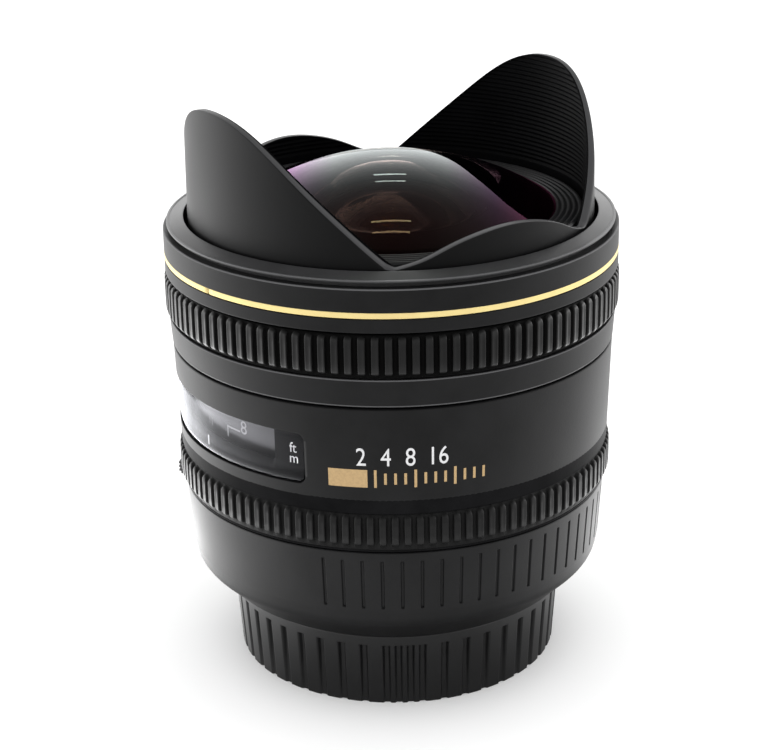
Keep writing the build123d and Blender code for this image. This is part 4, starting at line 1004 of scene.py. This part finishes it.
@dataclass
class MainShell:
    """The main barrel, with the recess of the distance window and the opening over the scale."""

    window: WindowOutline = field(default_factory=WindowOutline)
    grip_top_z: float = 38.6
    top_z: float = 56.4
    bottom_radius: float = 36.3
    top_radius: float = 36.9
    wall_ease: float = 0.2
    inner: float = 34.45
    ledge: float = 35.2
    recess_shares: tuple[float, ...] = (0.0, 0.05, 0.93, 1.0)
    opening_sweep: float = 49.4
    opening_low: float = 45.4
    opening_high: float = 51.2
    foot: Pairs = ((34.29, 29.9), (34.29, 32.0), (36.0, 32.05), (36.05, 32.1), (36.05, 32.36), (36.02, 32.4),
                     (35.5, 32.4), (35.5, 38.6), (36.16, 38.6), (36.26, 38.66))
    head: Pairs = ((36.89, 56.28), (36.85, 56.35), (36.75, 56.4), (36.6, 56.42), (34.45, 56.42))
    spigot: Pairs = ((34.45, 32.05), (32.9, 32.05), (32.9, 29.9))

    def beside(self, low: np.ndarray, high: np.ndarray) -> np.ndarray:
        """The heights of the rows between the window's lower and upper edge, a row of them for each angle."""
        rows = [low + 0.15, np.clip(self.opening_low, low + 0.3, high - 0.6),
                np.clip(self.opening_high, low + 0.6, high - 0.3), high - 0.15]
        return np.stack(rows, 1)

    def wall(self, z: np.ndarray) -> np.ndarray:
        """The outer radius at a height."""
        share = (z - self.grip_top_z) / (self.top_z - self.grip_top_z)
        return self.bottom_radius + (self.top_radius - self.bottom_radius) * share

    def build(self, finish: Material) -> None:
        """The wall runs in bands below, beside and above the window; the recess has walls and a ledge."""
        window = self.window
        mouth = window.middle_angle + np.array([-0.5, 0.5]) * self.opening_sweep
        angles = round_angles(1.5, np.concatenate([window.columns(), mouth]), 0.35)
        degrees = np.degrees(angles)
        away = apart(degrees, window.middle_angle)
        in_window = away <= window.sweep / 2 + SLACK
        low, high = window.heights(degrees)
        low = np.where(in_window, low, window.low + window.corner)
        high = np.where(in_window, high, window.high - window.corner)
        shares = np.array([0.0, 0.02, 0.3, 0.7, 0.97, 1.0])[None, :]
        start, end = self.grip_top_z + self.wall_ease, self.top_z - self.wall_ease
        below = start + (low[:, None] - start) * shares
        above = high[:, None] + (end - high[:, None]) * shares
        beside = self.beside(low, high)
        wall_z = np.concatenate([below, beside, above], 1)
        opening = ((self.inner, self.opening_high), (self.inner, self.opening_low))
        count = len(angles)
        outline = np.concatenate([fixed(self.foot, count), np.stack([self.wall(wall_z), wall_z], -1),
                                  fixed((*self.head, *opening, *self.spigot), count)], 1)
        keep = np.ones(outline.shape[:2], bool)
        first = len(self.foot) + below.shape[1] - 1
        keep[np.ix_(in_window & np.roll(in_window, -1), np.arange(first, first + beside.shape[1] + 1))] = False
        near = away < self.opening_sweep / 2 + SLACK
        keep[near & np.roll(near, -1), len(self.foot) + wall_z.shape[1] + len(self.head)] = False
        grid = turned_points(outline, angles)
        surface = Surface().add(grid, rows_closed=True, columns_closed=True, keep=keep)
        self.recess(surface, degrees[in_window])
        Piece("main_shell", Body.BARREL, "black_shell", "main_barrel").place(surface, finish)

    def recess_wall(self, surface: Surface, turn: np.ndarray, heights: np.ndarray, flip: bool) -> None:
        """Adds one wall of the recess: rows from the barrel's wall down to the ledge, along given points."""
        wall = self.wall(heights)
        radii = [wall * (1 - share) + self.ledge * share for share in self.recess_shares]
        surface.add(np.stack([round_points(radius, turn, heights) for radius in radii]), flip=flip)

    def recess(self, surface: Surface, inside: np.ndarray) -> None:
        """Adds the recess: its walls down to the ledge, the ledge round the opening, and the opening's walls.

        Args:
            surface: the shell's surface.
            inside: the angles across the window, in degrees.
        """
        low, high = self.window.heights(inside)
        turn = np.radians(inside)
        heights = np.concatenate([low[:, None], self.beside(low, high), high[:, None]], 1)
        self.recess_wall(surface, turn, low, True)
        self.recess_wall(surface, turn, high, False)
        for end, flip in ((0, False), (-1, True)):
            self.recess_wall(surface, turn[end], heights[end], flip)
        half, middle = self.opening_sweep / 2, (inside[1:] + inside[:-1]) / 2
        keep = np.ones((len(middle), heights.shape[1] - 1), bool)
        keep[apart(middle, self.window.middle_angle) < half, 2] = False
        surface.add(round_points(self.ledge, turn[:, None], heights), keep=keep)
        span = turn[apart(inside, self.window.middle_angle) < half + SLACK]
        depth = np.array([self.inner, self.ledge])[None, :]
        for z, flip in ((self.opening_low, True), (self.opening_high, False)):
            surface.add(round_points(depth, span[:, None], z), flip=flip)
        for side, flip in ((span[0], False), (span[-1], True)):
            heights = np.array([[self.opening_low], [self.opening_high]])
            surface.add(round_points(depth, side, heights), flip=flip)


@dataclass
class WindowPane:
    """The clear pane and the dark mask behind it."""

    window: WindowOutline = field(default_factory=lambda: WindowOutline(sweep=67.0, low=43.1, high=51.3))
    inner: float = 35.45
    outer: float = 36.3
    soft: float = 0.05
    half_width: float = 21.0
    least_half: float = 0.05
    mask_inner: float = 35.2
    mask_outer: float = 35.43
    opening_sweep: float = 48.6
    opening_low: float = 45.8
    opening_high: float = 50.8

    def sheet(self, radius: float, inset: float = 0.0) -> np.ndarray:
        """Points of the window's outline at a radius, drawn in by an inset: rows go up it, columns across."""
        inside, away = self.window.columns(), self.window.middle_angle
        low, high = self.window.heights(inside)
        half = np.maximum((high - low) / 2 - inset, self.least_half)
        z = ((low + high) / 2)[None, :] + half[None, :] * spaced(-1, 1, 9)[:, None]
        return round_points(radius, np.radians(away + (inside - away) * (1 - inset / self.half_width)), z)

    def slab(self) -> Surface:
        """The pane: a closed curved slab of the window's outline, with a softened front edge."""
        back, edge = self.sheet(self.inner), self.sheet(self.outer - self.soft)
        front = self.sheet(self.outer, self.soft)
        surface = Surface().add(back, flip=True).add(front)
        for first, second in ((back, edge), (edge, front)):
            surface.add(np.stack([border(first), border(second)]), columns_closed=True)
        return surface

    def mask(self) -> Surface:
        """The mask: the window's outline with the opening's quads left out, and a wall round each edge."""
        half, away = self.opening_sweep / 2, self.window.middle_angle
        inside = np.unique(np.concatenate([self.window.columns(), [away - half, away + half]]))
        low, high = self.window.heights(inside)
        opening = [np.clip(z, low, high) for z in (self.opening_low, self.opening_high)]
        levels = np.stack([low, *opening, high])
        keep = np.ones((3, len(inside) - 1), bool)
        keep[1, np.abs((inside[1:] + inside[:-1]) / 2 - away) < half] = False
        within = np.where(np.abs(inside - away) < half + SLACK)[0]
        turn = np.radians(inside)
        sheets = [round_points(radius, turn, levels) for radius in (self.mask_inner, self.mask_outer)]
        holes = [np.concatenate([sheet[1, within], sheet[2, within[::-1]]]) for sheet in sheets]
        surface = Surface().add(sheets[0], keep=keep, flip=True).add(sheets[1], keep=keep)
        surface.add(np.stack([border(sheet) for sheet in sheets]), columns_closed=True)
        return surface.add(np.stack(holes), columns_closed=True, flip=True)

    def build(self, clear: Material, dark: Material) -> None:
        """Makes the pane and the mask."""
        Piece("window_clear_pane", Body.BARREL, "clear_pane", "window_pane").place(self.slab(), clear)
        Piece("window_dark_mask", Body.BARREL, "inner_black", "window_mask").place(self.mask(), dark)


@dataclass
class Marks:
    """Plain figures and lines printed on a curved wall: flat outlines wrapped round the axis."""

    name: str
    body: Body
    slot: str
    radius: float
    lean: float = 0.0
    bar_step: float = 0.8
    coat: float = 0.03
    meshes: list[tuple[np.ndarray, list[list[int]]]] = field(default_factory=list)

    def text(self, words: str, size: float, angle: float, height: float, squeeze: float = 1.0) -> "Marks":
        """Adds generic figures or a unit, centred at an angle and a height.

        Args:
            words: the figures.
            size: their font size, in millimetres.
            angle: the angle of their middle, from the camera's own, in degrees.
            height: the height of their middle.
            squeeze: their width against the font's own.

        Returns:
            These marks.
        """
        curve = bpy.data.curves.new(self.name + "_text", "FONT")
        curve.body, curve.size, curve.resolution_u = words, size, 6
        curve.align_x, curve.align_y = "CENTER", "CENTER"
        holder = bpy.data.objects.new(self.name + "_text", curve)
        mesh = bpy.data.meshes.new_from_object(holder)
        points = np.zeros(len(mesh.vertices) * 3)
        mesh.vertices.foreach_get("co", points)
        flat = points.reshape(-1, 3)[:, :2]
        flat = flat - (flat.max(0) + flat.min(0)) / 2
        faces = [list(face.vertices) for face in mesh.polygons]
        self.wrap(flat[:, 0] * squeeze, flat[:, 1], faces, angle, height)
        bpy.data.objects.remove(holder)
        bpy.data.curves.remove(curve)
        bpy.data.meshes.remove(mesh)
        return self

    def bar(self, width: float, tall: float, angle: float, height: float) -> "Marks":
        """Adds a plain upright or level bar."""
        columns = max(2, int(width / self.bar_step) + 2)
        across, up = np.meshgrid(spaced(-width / 2, width / 2, columns), [-tall / 2, tall / 2])
        faces = grid_faces(2, columns, False, False)[:, ::-1].tolist()
        self.wrap(across.ravel(), up.ravel(), faces, angle, height)
        return self

    def wrap(self, across: np.ndarray, up: np.ndarray, faces: list[list[int]], angle: float,
             height: float) -> None:
        """Puts flat points on the wall: across becomes an angle, up becomes height, and the radius follows the
        wall's lean."""
        turn = math.radians(angle + CAMERA_TURN) + across / self.radius
        self.meshes.append((round_points(self.radius + self.lean * up, turn, height + up), faces))

    def build(self, finish: Material) -> None:
        """Joins the marks into one piece, facing outwards, with the thickness of a coat of paint."""
        start, faces = 0, []
        for place, corners in self.meshes:
            faces += [[index + start for index in corner] for corner in corners]
            start += len(place)
        mesh = bpy.data.meshes.new(self.name)
        mesh.from_pydata((np.vstack([place for place, _ in self.meshes]) * MM).tolist(), [], faces)
        mesh.update()
        centres = np.array([face.center for face in mesh.polygons])
        normals = np.array([face.normal for face in mesh.polygons])
        if (centres[:, :2] * normals[:, :2]).sum() < 0:
            mesh.flip_normals()
        coat = Piece(self.name, self.body, self.slot, "").bind(mesh, finish).modifiers.new("coat", "SOLIDIFY")
        coat.thickness, coat.offset = self.coat * MM, -1.0


@dataclass
class FocusRing:
    """The focus ring: a plain band that flares a little, a dark groove and the rubber's seat."""

    corners: Corners = (
        (34.93, 56.82, 0.1), (36.8, 56.82, 0.05), (36.98, 57.0, 0.1), (37.3, 61.4, 0.16), (36.4, 61.4, 0.1),
        (36.4, 68.7, 0.2), (34.93, 68.7, 0.1))

    def build(self, finish: Material) -> None:
        """Turns the ring."""
        Piece("focus_band", Body.FOCUS, "black_shell", "focus_ring").turn(self.corners, finish)


@dataclass
class FrontShell:
    """The front barrel with its groove, and the gold ring laid into it with a hair-thin split."""

    low: float = 69.0
    step: float = 73.0
    high: float = 76.0
    inner: float = 34.85
    front_inner: float = 36.0
    radius: float = 37.6
    gold_low: float = 71.36
    gold_high: float = 72.28
    groove_depth: float = 0.7
    groove_gap: float = 0.16
    proud: float = 0.02
    split_angle: float = -83.0
    split: float = 0.28

    def build(self, finish: Material, gold: Material) -> None:
        """Turns the shell from its outline, and the gold ring as a sector closed at both ends."""
        radius, high, start = self.radius, self.gold_high, self.gold_low - self.groove_gap
        bed, face = radius - self.groove_depth, radius + self.proud
        Piece("front_shell", Body.BARREL, "black_shell", "front_barrel").turn(
            [(self.inner, self.low, 0.1), (radius, self.low, 0.28), (radius, start, 0.06), (bed, start, 0.05),
             (bed, high, 0.05), (radius, high, 0.06), (radius, self.high, 0.18),
             (self.front_inner, self.high, 0.1), (self.front_inner, self.step, 0.1),
             (self.inner, self.step, 0.1)], finish)
        low = self.gold_low
        band = rounded_outline([(bed, low, 0.03), (face, low, 0.12), (face, high, 0.12), (bed, high, 0.03)])
        around = np.radians(spaced(self.split_angle + self.split, self.split_angle + 360 - self.split, 240))
        Piece("gold_band", Body.BARREL, "gold", "gold_ring").place(Surface().sector(band, around), gold)


@dataclass
class RimRing:
    """The ring at the front: an upright edge, a shallow step and a face that slopes up to the hood."""

    corners: Corners = (
        (34.8, 73.0, 0.1), (36.0, 73.0, 0.1), (36.0, 76.8, 0.1), (37.0, 76.8, 0.08), (37.0, 77.16, 0.06),
        (36.62, 77.2, 0.03), (36.5, 77.12, 0.03), (34.15, 77.86, 0.2), (34.15, 76.8, 0.1), (34.8, 76.8, 0.1))

    def build(self, finish: Material) -> None:
        """Turns the rim with its skirt."""
        Piece("rim_face", Body.BARREL, "black_metal", "front_rim_ring").turn(self.corners, finish)


@dataclass
class PetalHood:
    """A thin wall cut to two tall and two short petals, ridged inside, on a clamped foot."""

    seat_z: float = 71.8
    foot_z: float = 73.0
    notch_z: float = 77.5
    wall_top: float = 99.6
    foot_radius: float = 34.7
    foot_bevel: float = 0.1
    outer: float = 33.5
    tip: float = 33.2
    inner: float = 32.1
    soft: float = 0.14
    rise_power: float = 0.4
    flat_power: float = 0.25
    foot_gap: float = 0.02
    fold_below: float = 0.05
    ridge_fade: float = 0.35
    tall_height: float = 21.1
    tall_half: float = 27.2
    short_height: float = 5.4
    short_half: float = 18.6
    tall_shares: Pairs = ((0.0, 1.0), (0.35, 0.885), (0.685, 0.515), (0.888, 0.205), (1.0, 0.0))
    short_shares: Pairs = ((0.0, 1.0), (0.31, 0.87), (0.56, 0.59), (0.75, 0.28), (1.0, 0.0))
    column_step: float = 0.6
    plain_levels: tuple[float, ...] = (72.2, 75.0, 77.0, 78.4, 78.9, 79.2)
    ridge_low: float = 79.5
    ridge_pitch: float = 0.755
    ridge_depth: float = 0.22
    ridge_shares: Pairs = ((0.0, 0.0), (0.16, 1.0), (0.62, 1.0), (0.78, 0.0))

    @staticmethod
    def curve(shares: Pairs, across: np.ndarray) -> np.ndarray:
        """The petal's height over its width: a natural cubic through the shares, mirrored at the middle.

        Args:
            shares: across and up, each as a share of the petal's own size.
            across: where the height is wanted, as a share.

        Returns:
            The height as a share.
        """
        half = np.array(shares)
        x = np.concatenate([-half[:0:-1, 0], half[:, 0]])
        y = np.concatenate([half[:0:-1, 1], half[:, 1]])
        step, count = np.diff(x), len(x)
        slope = np.diff(y) / step
        matrix, right = np.eye(count), np.zeros(count)
        for index in range(1, count - 1):
            before, after = step[index - 1], step[index]
            matrix[index, index - 1 : index + 2] = (before, 2 * (before + after), after)
            right[index] = 6 * (slope[index] - slope[index - 1])
        bend = np.linalg.solve(matrix, right)
        low = np.clip(np.searchsorted(x, across) - 1, 0, count - 2)
        high, h = low + 1, step[low]
        a, b = x[high] - across, across - x[low]
        straight = (y[low] / h - bend[low] * h / 6) * a + (y[high] / h - bend[high] * h / 6) * b
        return (bend[low] * a**3 + bend[high] * b**3) / (6 * h) + straight

    def top(self, angles: np.ndarray, radius: float) -> np.ndarray:
        """The height of the cut edge at each angle, for a wall at a radius: the higher of both petal pairs."""
        edge = np.full(len(angles), self.notch_z)
        tall = (np.cos(angles), self.tall_half, self.tall_shares, self.tall_height)
        short = (np.sin(angles), self.short_half, self.short_shares, self.short_height)
        for across, half, shares, height in (tall, short):
            share = np.abs(radius * across) / half
            rise = np.where(share < 1, self.curve(shares, np.clip(share, 0, 1)), 0.0)
            edge = np.maximum(edge, self.notch_z + height * np.maximum(rise, 0))
        return edge

    def wall(self, z: np.ndarray) -> np.ndarray:
        """The outer radius, drawn in towards the tips."""
        share = np.clip((z - self.notch_z) / (self.wall_top - self.notch_z), 0, 1)
        return self.outer + (self.tip - self.outer) * share

    def build(self, finish: Material) -> None:
        """Radius and height in rows: foot, outer wall, rounded cut edge, ridged inner wall. Rows above the cut
        edge fold onto it and merge there."""
        angles = np.radians(np.arange(0, 360, self.column_step))
        outer_top = self.top(angles, (self.outer + self.tip) / 2)[:, None]
        inner_top = self.top(angles, self.inner)[:, None]
        start = self.foot_z + self.foot_bevel
        foot = [(self.inner, self.seat_z), (self.foot_radius - self.foot_bevel, self.seat_z),
                (self.foot_radius, self.seat_z + self.foot_bevel), (self.foot_radius, self.foot_z),
                (self.outer + self.foot_gap, self.foot_z)]
        shares = np.array([0.0, 0.04, 0.15, 0.3, 0.5, 0.7, 0.85, 0.95, 0.985, 1.0])[None, :]
        outer_z = start + (outer_top - self.soft - start) * shares
        turn = spaced(0, math.pi, 9)[None, 1:]
        blend = (1 - np.cos(turn)) / 2
        edge_z = outer_top * (1 - blend) + inner_top * blend - self.soft * (1 - np.sin(turn) ** self.rise_power)
        flat = np.sign(np.cos(turn)) * np.abs(np.cos(turn)) ** self.flat_power
        edge_r = (self.wall(outer_top) + self.inner) / 2 + (self.wall(outer_top) - self.inner) / 2 * flat
        ridge = np.array(self.ridge_shares)
        ridges = np.arange(self.ridge_low, self.wall_top, self.ridge_pitch)
        ridged_levels = (ridges[:, None] + ridge[:, 0] * self.ridge_pitch).ravel()
        levels = np.append(self.plain_levels, ridged_levels)[None, ::-1]
        dents = np.tile(ridge[:, 1], len(ridges)) * self.ridge_depth
        dents = np.append(np.zeros(len(self.plain_levels)), dents)
        limit = inner_top - self.soft - self.fold_below
        inner_r = self.inner + dents[None, ::-1] * smooth_step(0.0, self.ridge_fade, limit - levels)
        rows = ((self.wall(outer_z), outer_z), (edge_r, edge_z), (inner_r, np.minimum(levels, limit)))
        outline = np.concatenate([fixed(foot, len(angles)), *(np.stack(row, -1) for row in rows)], 1)
        surface = Surface().turned(outline, angles)
        Piece("hood_petals", Body.BARREL, "black_metal", "petal_hood").place(surface, finish)


@dataclass
class FrontUnit:
    """What shows of the sliding unit from the front: the ridged ring and the front glass."""

    glass_radius: float = 27.2
    dome_z: float = 86.1
    face_radius: float = 50.8
    back_radius: float = 18.0
    bowl: float = 15.5
    land_width: float = 0.3
    thickness: float = 2.6
    rim_bevel: tuple[float, float] = (0.1, 0.15)
    ring_outer: float = 31.7
    ring_low: float = 77.3
    ring_valley: float = 78.0
    ring_top: float = 78.3
    ridges: int = 5
    ridge_shares: tuple[float, float] = (0.62, 0.38)

    def build(self, ring: Material, glass: Material) -> None:
        """Turns the ridged ring and the front glass: two ball faces, a ground land and a rim."""
        pitch = (self.ring_outer - self.glass_radius) / self.ridges
        points = [(self.glass_radius, self.ring_low, 0.05), (self.ring_outer, self.ring_low, 0.05),
                  (self.ring_outer, self.ring_valley, 0.05)]
        for index in reversed(range(self.ridges)):
            start = self.glass_radius + index * pitch
            points += [(start + pitch * share, self.ring_top, 0.14) for share in self.ridge_shares]
            points.append((start + (0.0 if index else 0.02), self.ring_valley, 0.1))
        Piece("ridged_ring", Body.OPTICS, "black_metal", "front_retaining_ring").turn(points, ring, 3)
        front, back = spaced(0, 1, 40) * self.glass_radius, spaced(1, 0, 24) * self.bowl
        top = self.dome_z - self.face_radius + np.sqrt(self.face_radius**2 - front**2)
        under = self.dome_z - self.thickness - self.back_radius + np.sqrt(self.back_radius**2 - back**2)
        inwards, down = self.rim_bevel
        rim = [(self.glass_radius, top[-1] - down), (self.glass_radius, under[0] + down),
               (self.glass_radius - inwards, under[0]), (self.bowl + self.land_width, under[0])]
        profile = np.concatenate([np.stack([front, top], -1), rim, np.stack([back, under], -1)])
        surface = Surface().add(turned_points(profile, round_angles(2.5)), rows_closed=True)
        Piece("front_glass", Body.OPTICS, "lens_glass", "glass_group_1").place(surface, glass)


# Stage, light and camera


def turn_matrix(first: int, second: int, angle: float) -> np.ndarray:
    """The matrix that turns one axis towards another: cosines on the diagonal, sines beside it."""
    matrix = np.eye(3)
    matrix[first, first] = matrix[second, second] = math.cos(angle)
    matrix[first, second], matrix[second, first] = -math.sin(angle), math.sin(angle)
    return matrix


@dataclass
class Stage:
    """The pale floor, the soft lights and the camera of the photograph's view."""

    width: int = 778
    focal_pixels: float = 2034.679
    distance: float = 346.336
    lift: float = 0.365364482
    roll: float = 0.0164956
    yaw: float = -0.0021865
    pitch: float = -0.0043560
    target_z: float = 49.64737
    base_z: float = 0.13499
    turn: float = math.radians(56.31)
    sensor: float = 36.0
    floor_half: float = 6.0
    mirror_strength: float = 4.0
    white_strength: float = 1.56
    # Painted light from the left: the floor's glow in reflections is stronger on the left than on the right
    left_gain: float = 0.3
    floor_gain: float = 3.0
    floor_reach: float = 0.3
    lamp_height: float = 0.07
    lamp_distance: float = 1.2
    tube: float = 0.019
    # Brightness from the room's dark side, at the camera's back, to the backdrop's
    room: Pairs = ((0.0, 0.065), (0.12, 0.08), (0.3, 0.18), (0.46, 0.28), (0.62, 0.44), (0.72, 0.58),
                   (0.85, 0.48), (1.0, 0.42))
    # Brightness of the floor's glow in reflections from its middle outwards: a painted shadow round the object,
    # brightest just beyond it, dimmer farther out
    near: Pairs = ((0.13, 0.17), (0.167, 0.47), (0.207, 1.0), (0.267, 0.72), (0.337, 0.5), (0.517, 0.34),
                   (0.7, 0.32), (1.0, 0.22))
    # Brightness of the room from the horizon upwards
    rise: Pairs = ((0.0, 1.25), (0.2, 1.1), (0.35, 0.8), (0.5, 0.42), (0.62, 0.22), (0.79, 0.10), (1.0, 0.06))
    # Degrees above the floor, length in metres, power in watts and colour of each lamp
    lamps: tuple[tuple[float, float, float, Colour], ...] = (
        (34.3, 0.125, 0.04675, (0.90, 1.0, 0.92)), (40.2, 0.125, 0.0385, (0.90, 1.0, 0.92)),
        (66.5, 0.22, 0.0715, (0.72, 1.0, 0.58)), (72.5, 0.22, 0.055, (0.78, 1.0, 0.58)))

    @property
    def right(self) -> Triple:
        """The level direction to the camera's right."""
        return math.cos(self.turn), math.sin(self.turn), 0.0

    @property
    def away(self) -> Triple:
        """The level direction from the camera to the object."""
        return -math.sin(self.turn), math.cos(self.turn), 0.0

    def camera(self) -> None:
        """Places the camera: view axes tilted by the lift, then turned by yaw, pitch and roll."""
        rise, fall = math.cos(self.lift), math.sin(self.lift)
        axes = np.array([[1, 0, 0], [0, fall, rise], [0, rise, -fall]], float)
        place = np.array([0, 0, self.target_z - self.base_z]) - self.distance * axes[2]
        roll, pitch = turn_matrix(0, 1, self.roll), turn_matrix(1, 2, self.pitch)
        axes = roll @ pitch @ turn_matrix(0, 2, self.yaw) @ axes
        spin = turn_matrix(0, 1, self.turn)
        axes, place = axes @ spin.T, spin @ place
        data = bpy.data.cameras.new("view_camera")
        data.sensor_width = self.sensor
        data.lens = self.focal_pixels * self.sensor / self.width
        data.clip_start, data.clip_end = 0.01, 20.0
        camera = bpy.data.objects.new("view_camera", data)
        bpy.context.scene.collection.objects.link(camera)
        matrix = Matrix([[*column, 0.0] for column in zip(axes[0], axes[1], -axes[2])] + [[0, 0, 0, 1]])
        matrix.translation = Vector(place * MM)
        camera.matrix_world = matrix
        bpy.context.scene.camera = camera

    def brightness(self, nodes: Nodes, way: Socket) -> Value:
        """How bright the room is along a way, by how far the way points from the camera to the object."""
        return nodes.steps(nodes.along(way, self.away) * 0.5 + 0.5, self.room)

    def floor(self) -> None:
        """A wide white floor under the cap. Reflections see it glow, darker towards the camera, as in a room,
        with a painted shadow round the object and painted light from the left.
        """
        mesh = bpy.data.meshes.new("floor")
        side = self.floor_half
        corners = [(-side, -side, 0), (side, -side, 0), (side, side, 0), (-side, side, 0)]
        mesh.from_pydata(corners, [], [(0, 1, 2, 3)])
        floor = bpy.data.objects.new("floor", mesh)
        bpy.context.scene.collection.objects.link(floor)
        nodes = Nodes("floor_white")
        level = nodes.add("VectorMath", operation="NORMALIZE")
        nodes.give(level.inputs[0], nodes.place)
        way = level.outputs[0]
        # Painted shadow round the object, and painted light from the left, in the glow that only reflections
        # see
        near = nodes.steps(nodes.polar()[0] / self.floor_reach, self.near)
        gain = 1.0 - nodes.along(way, self.right) * self.left_gain
        glow = nodes.shader("Emission", Color=self.brightness(nodes, way),
                            Strength=near * (self.mirror_strength * self.floor_gain) * gain)
        white = nodes.shader("BsdfPrincipled", Base_Color=(0.92, 0.92, 0.92), Roughness=0.75,
                             Specular_IOR_Level=0.1)
        mirrored = nodes.read("LightPath", "Is Glossy Ray")
        mesh.materials.append(nodes.surface(nodes.blend(mirrored, white, glow)))

    def sky(self) -> None:
        """A white surround. The object mirrors it bright at the horizon behind, dim overhead and in front."""
        world = bpy.data.worlds.new("studio")
        bpy.context.scene.world = world
        nodes = Nodes("studio", world)
        fade = nodes.steps(nodes.split(nodes.place)[2], self.rise)
        mirrored = nodes.shader("Background", Color=self.brightness(nodes, nodes.place) * fade,
                                Strength=self.mirror_strength)
        white = nodes.shader("Background", Color=(1.0, 1.0, 1.0), Strength=self.white_strength)
        nodes.surface(nodes.blend(nodes.read("LightPath", "Is Glossy Ray"), white, mirrored))

    def lamp(self, name: str, lift: float, length: float, power: float, colour: Colour) -> None:
        """An area light beyond the object that faces its glass.

        Args:
            name: the light's name.
            lift: degrees above the floor.
            length: its length, in metres.
            power: its power, in watts.
            colour: its colour.
        """
        data = bpy.data.lights.new(name, "AREA")
        data.shape, data.size, data.size_y = "RECTANGLE", length, self.tube
        data.energy, data.color = power, colour
        lamp = bpy.data.objects.new(name, data)
        bpy.context.scene.collection.objects.link(lamp)
        across, rise = Vector(self.right), math.radians(lift)
        way = Vector(self.away) * math.cos(rise) + Vector((0, 0, math.sin(rise)))
        lamp.location = Vector((0, 0, self.lamp_height)) + way * self.lamp_distance
        lamp.rotation_euler = Matrix((across, way.cross(across), way)).transposed().to_euler()

    def build(self) -> None:
        """Builds the stage."""
        self.camera()
        self.floor()
        self.sky()
        for number, lamp in enumerate(self.lamps):
            self.lamp(f"tube_{number}", *lamp)
        view = bpy.context.scene.view_settings
        view.view_transform, view.look = "Standard", "None"


@dataclass
class Printing:
    """The printed marks: the distance scale, the window's units, the barrel's figures and its gold bars."""

    scale_radius: float = 34.02
    units_radius: float = 35.448
    figures_radius: float = 36.65
    bars_radius: float = 36.525
    lean: float = 0.034
    ticks: int = 12
    tick_first: float = -4.8
    tick_step: float = 2.45

    def build(self, white: Material, bright: Material, gold: Material) -> None:
        """Prints each set in its paint."""
        scale = Marks("scale_figures", Body.CAM, "scale_black", self.scale_radius)
        scale.text("8", 3.2, -44.9, 48.6).text("11", 1.9, -61.6, 46.7)
        scale.bar(0.3, 2.0, -52.0, 46.9).bar(3.3, 0.3, -49.2, 47.7).build(white)
        units = Marks("window_units", Body.BARREL, "inner_black", self.units_radius)
        units.text("ft", 2.4, -26.6, 48.35, 0.9).text("m", 2.4, -26.4, 46.3, 0.9)
        units.bar(0.42, 1.7, -58.5, 44.35).build(bright)
        plate = Marks("barrel_figures", Body.BARREL, "black_shell", self.figures_radius, self.lean)
        for words, angle in (("2", -8.2), ("4", -2.2), ("8", 3.8), ("16", 11.0)):
            plate.text(words, 4.3, angle, 48.5, 0.8)
        plate.build(white)
        bars = Marks("barrel_scale_bars", Body.BARREL, "black_shell", self.bars_radius, self.lean)
        bars.bar(6.2, 3.0, -11.6, 44.8)
        for number in range(self.ticks):
            bars.bar(0.42, 1.9 if number % 4 else 3.0, self.tick_first + self.tick_step * number, 44.8)
        bars.build(gold)


def dress_nodes(frame: dict, finishes: dict[str, Material]) -> None:
    """Gives every CAD node the finish of its record slot.

    Args:
        frame: the loaded frame.
        finishes: materials by name.
    """
    for entry in frame["record"]["subparts"]:
        node = frame["nodes"][entry["node"]]
        node.data.materials.clear()
        node.data.materials.append(finishes[SLOTS[entry["material_slot"]]])


def build_pieces(finishes: dict[str, Material]) -> None:
    """Builds every finished piece, from the cap to the front glass."""
    RearCap().build(finishes["cap_black"])
    RearShell().build(finishes["shell_black"])
    RibbedGrip("lower_grip", Body.BARREL, "lower_grip_rubber", inner=35.5, outer=36.8, low=32.4, high=38.6,
               count=117, rib_low=33.1, rib_high=38.45).build(finishes["lower_rubber"])
    MainShell().build(finishes["barrel_black"])
    WindowPane().build(finishes["clear_window"], finishes["mask_black"])
    FocusRing().build(finishes["band_black"])
    RibbedGrip("focus_grip", Body.FOCUS, "focus_rubber", inner=36.4, outer=37.85, low=61.8, high=68.7,
               count=114, rib_low=62.1, rib_high=68.55, arch=0.3, dish=0.2).build(
                   finishes["focus_rubber_black"])
    FrontShell().build(finishes["front_black"], finishes["gold_satin"])
    RimRing().build(finishes["rim_black"])
    PetalHood().build(finishes["hood_black"])
    FrontUnit().build(finishes["ring_black"], finishes["coated_glass"])
    Printing().build(finishes["white_figures"], finishes["bright_figures"], finishes["gold_figures"])


def main() -> None:
    """Loads the frame, builds every piece and sets the stage."""
    logging.basicConfig(level=logging.INFO, format="%(name)s: %(message)s")
    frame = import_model()
    finishes = {finish.name: finish.material() for finish in FINISHES}
    dress_nodes(frame, finishes)
    build_pieces(finishes)
    Stage().build()


if __name__ == "__main__":
    main()
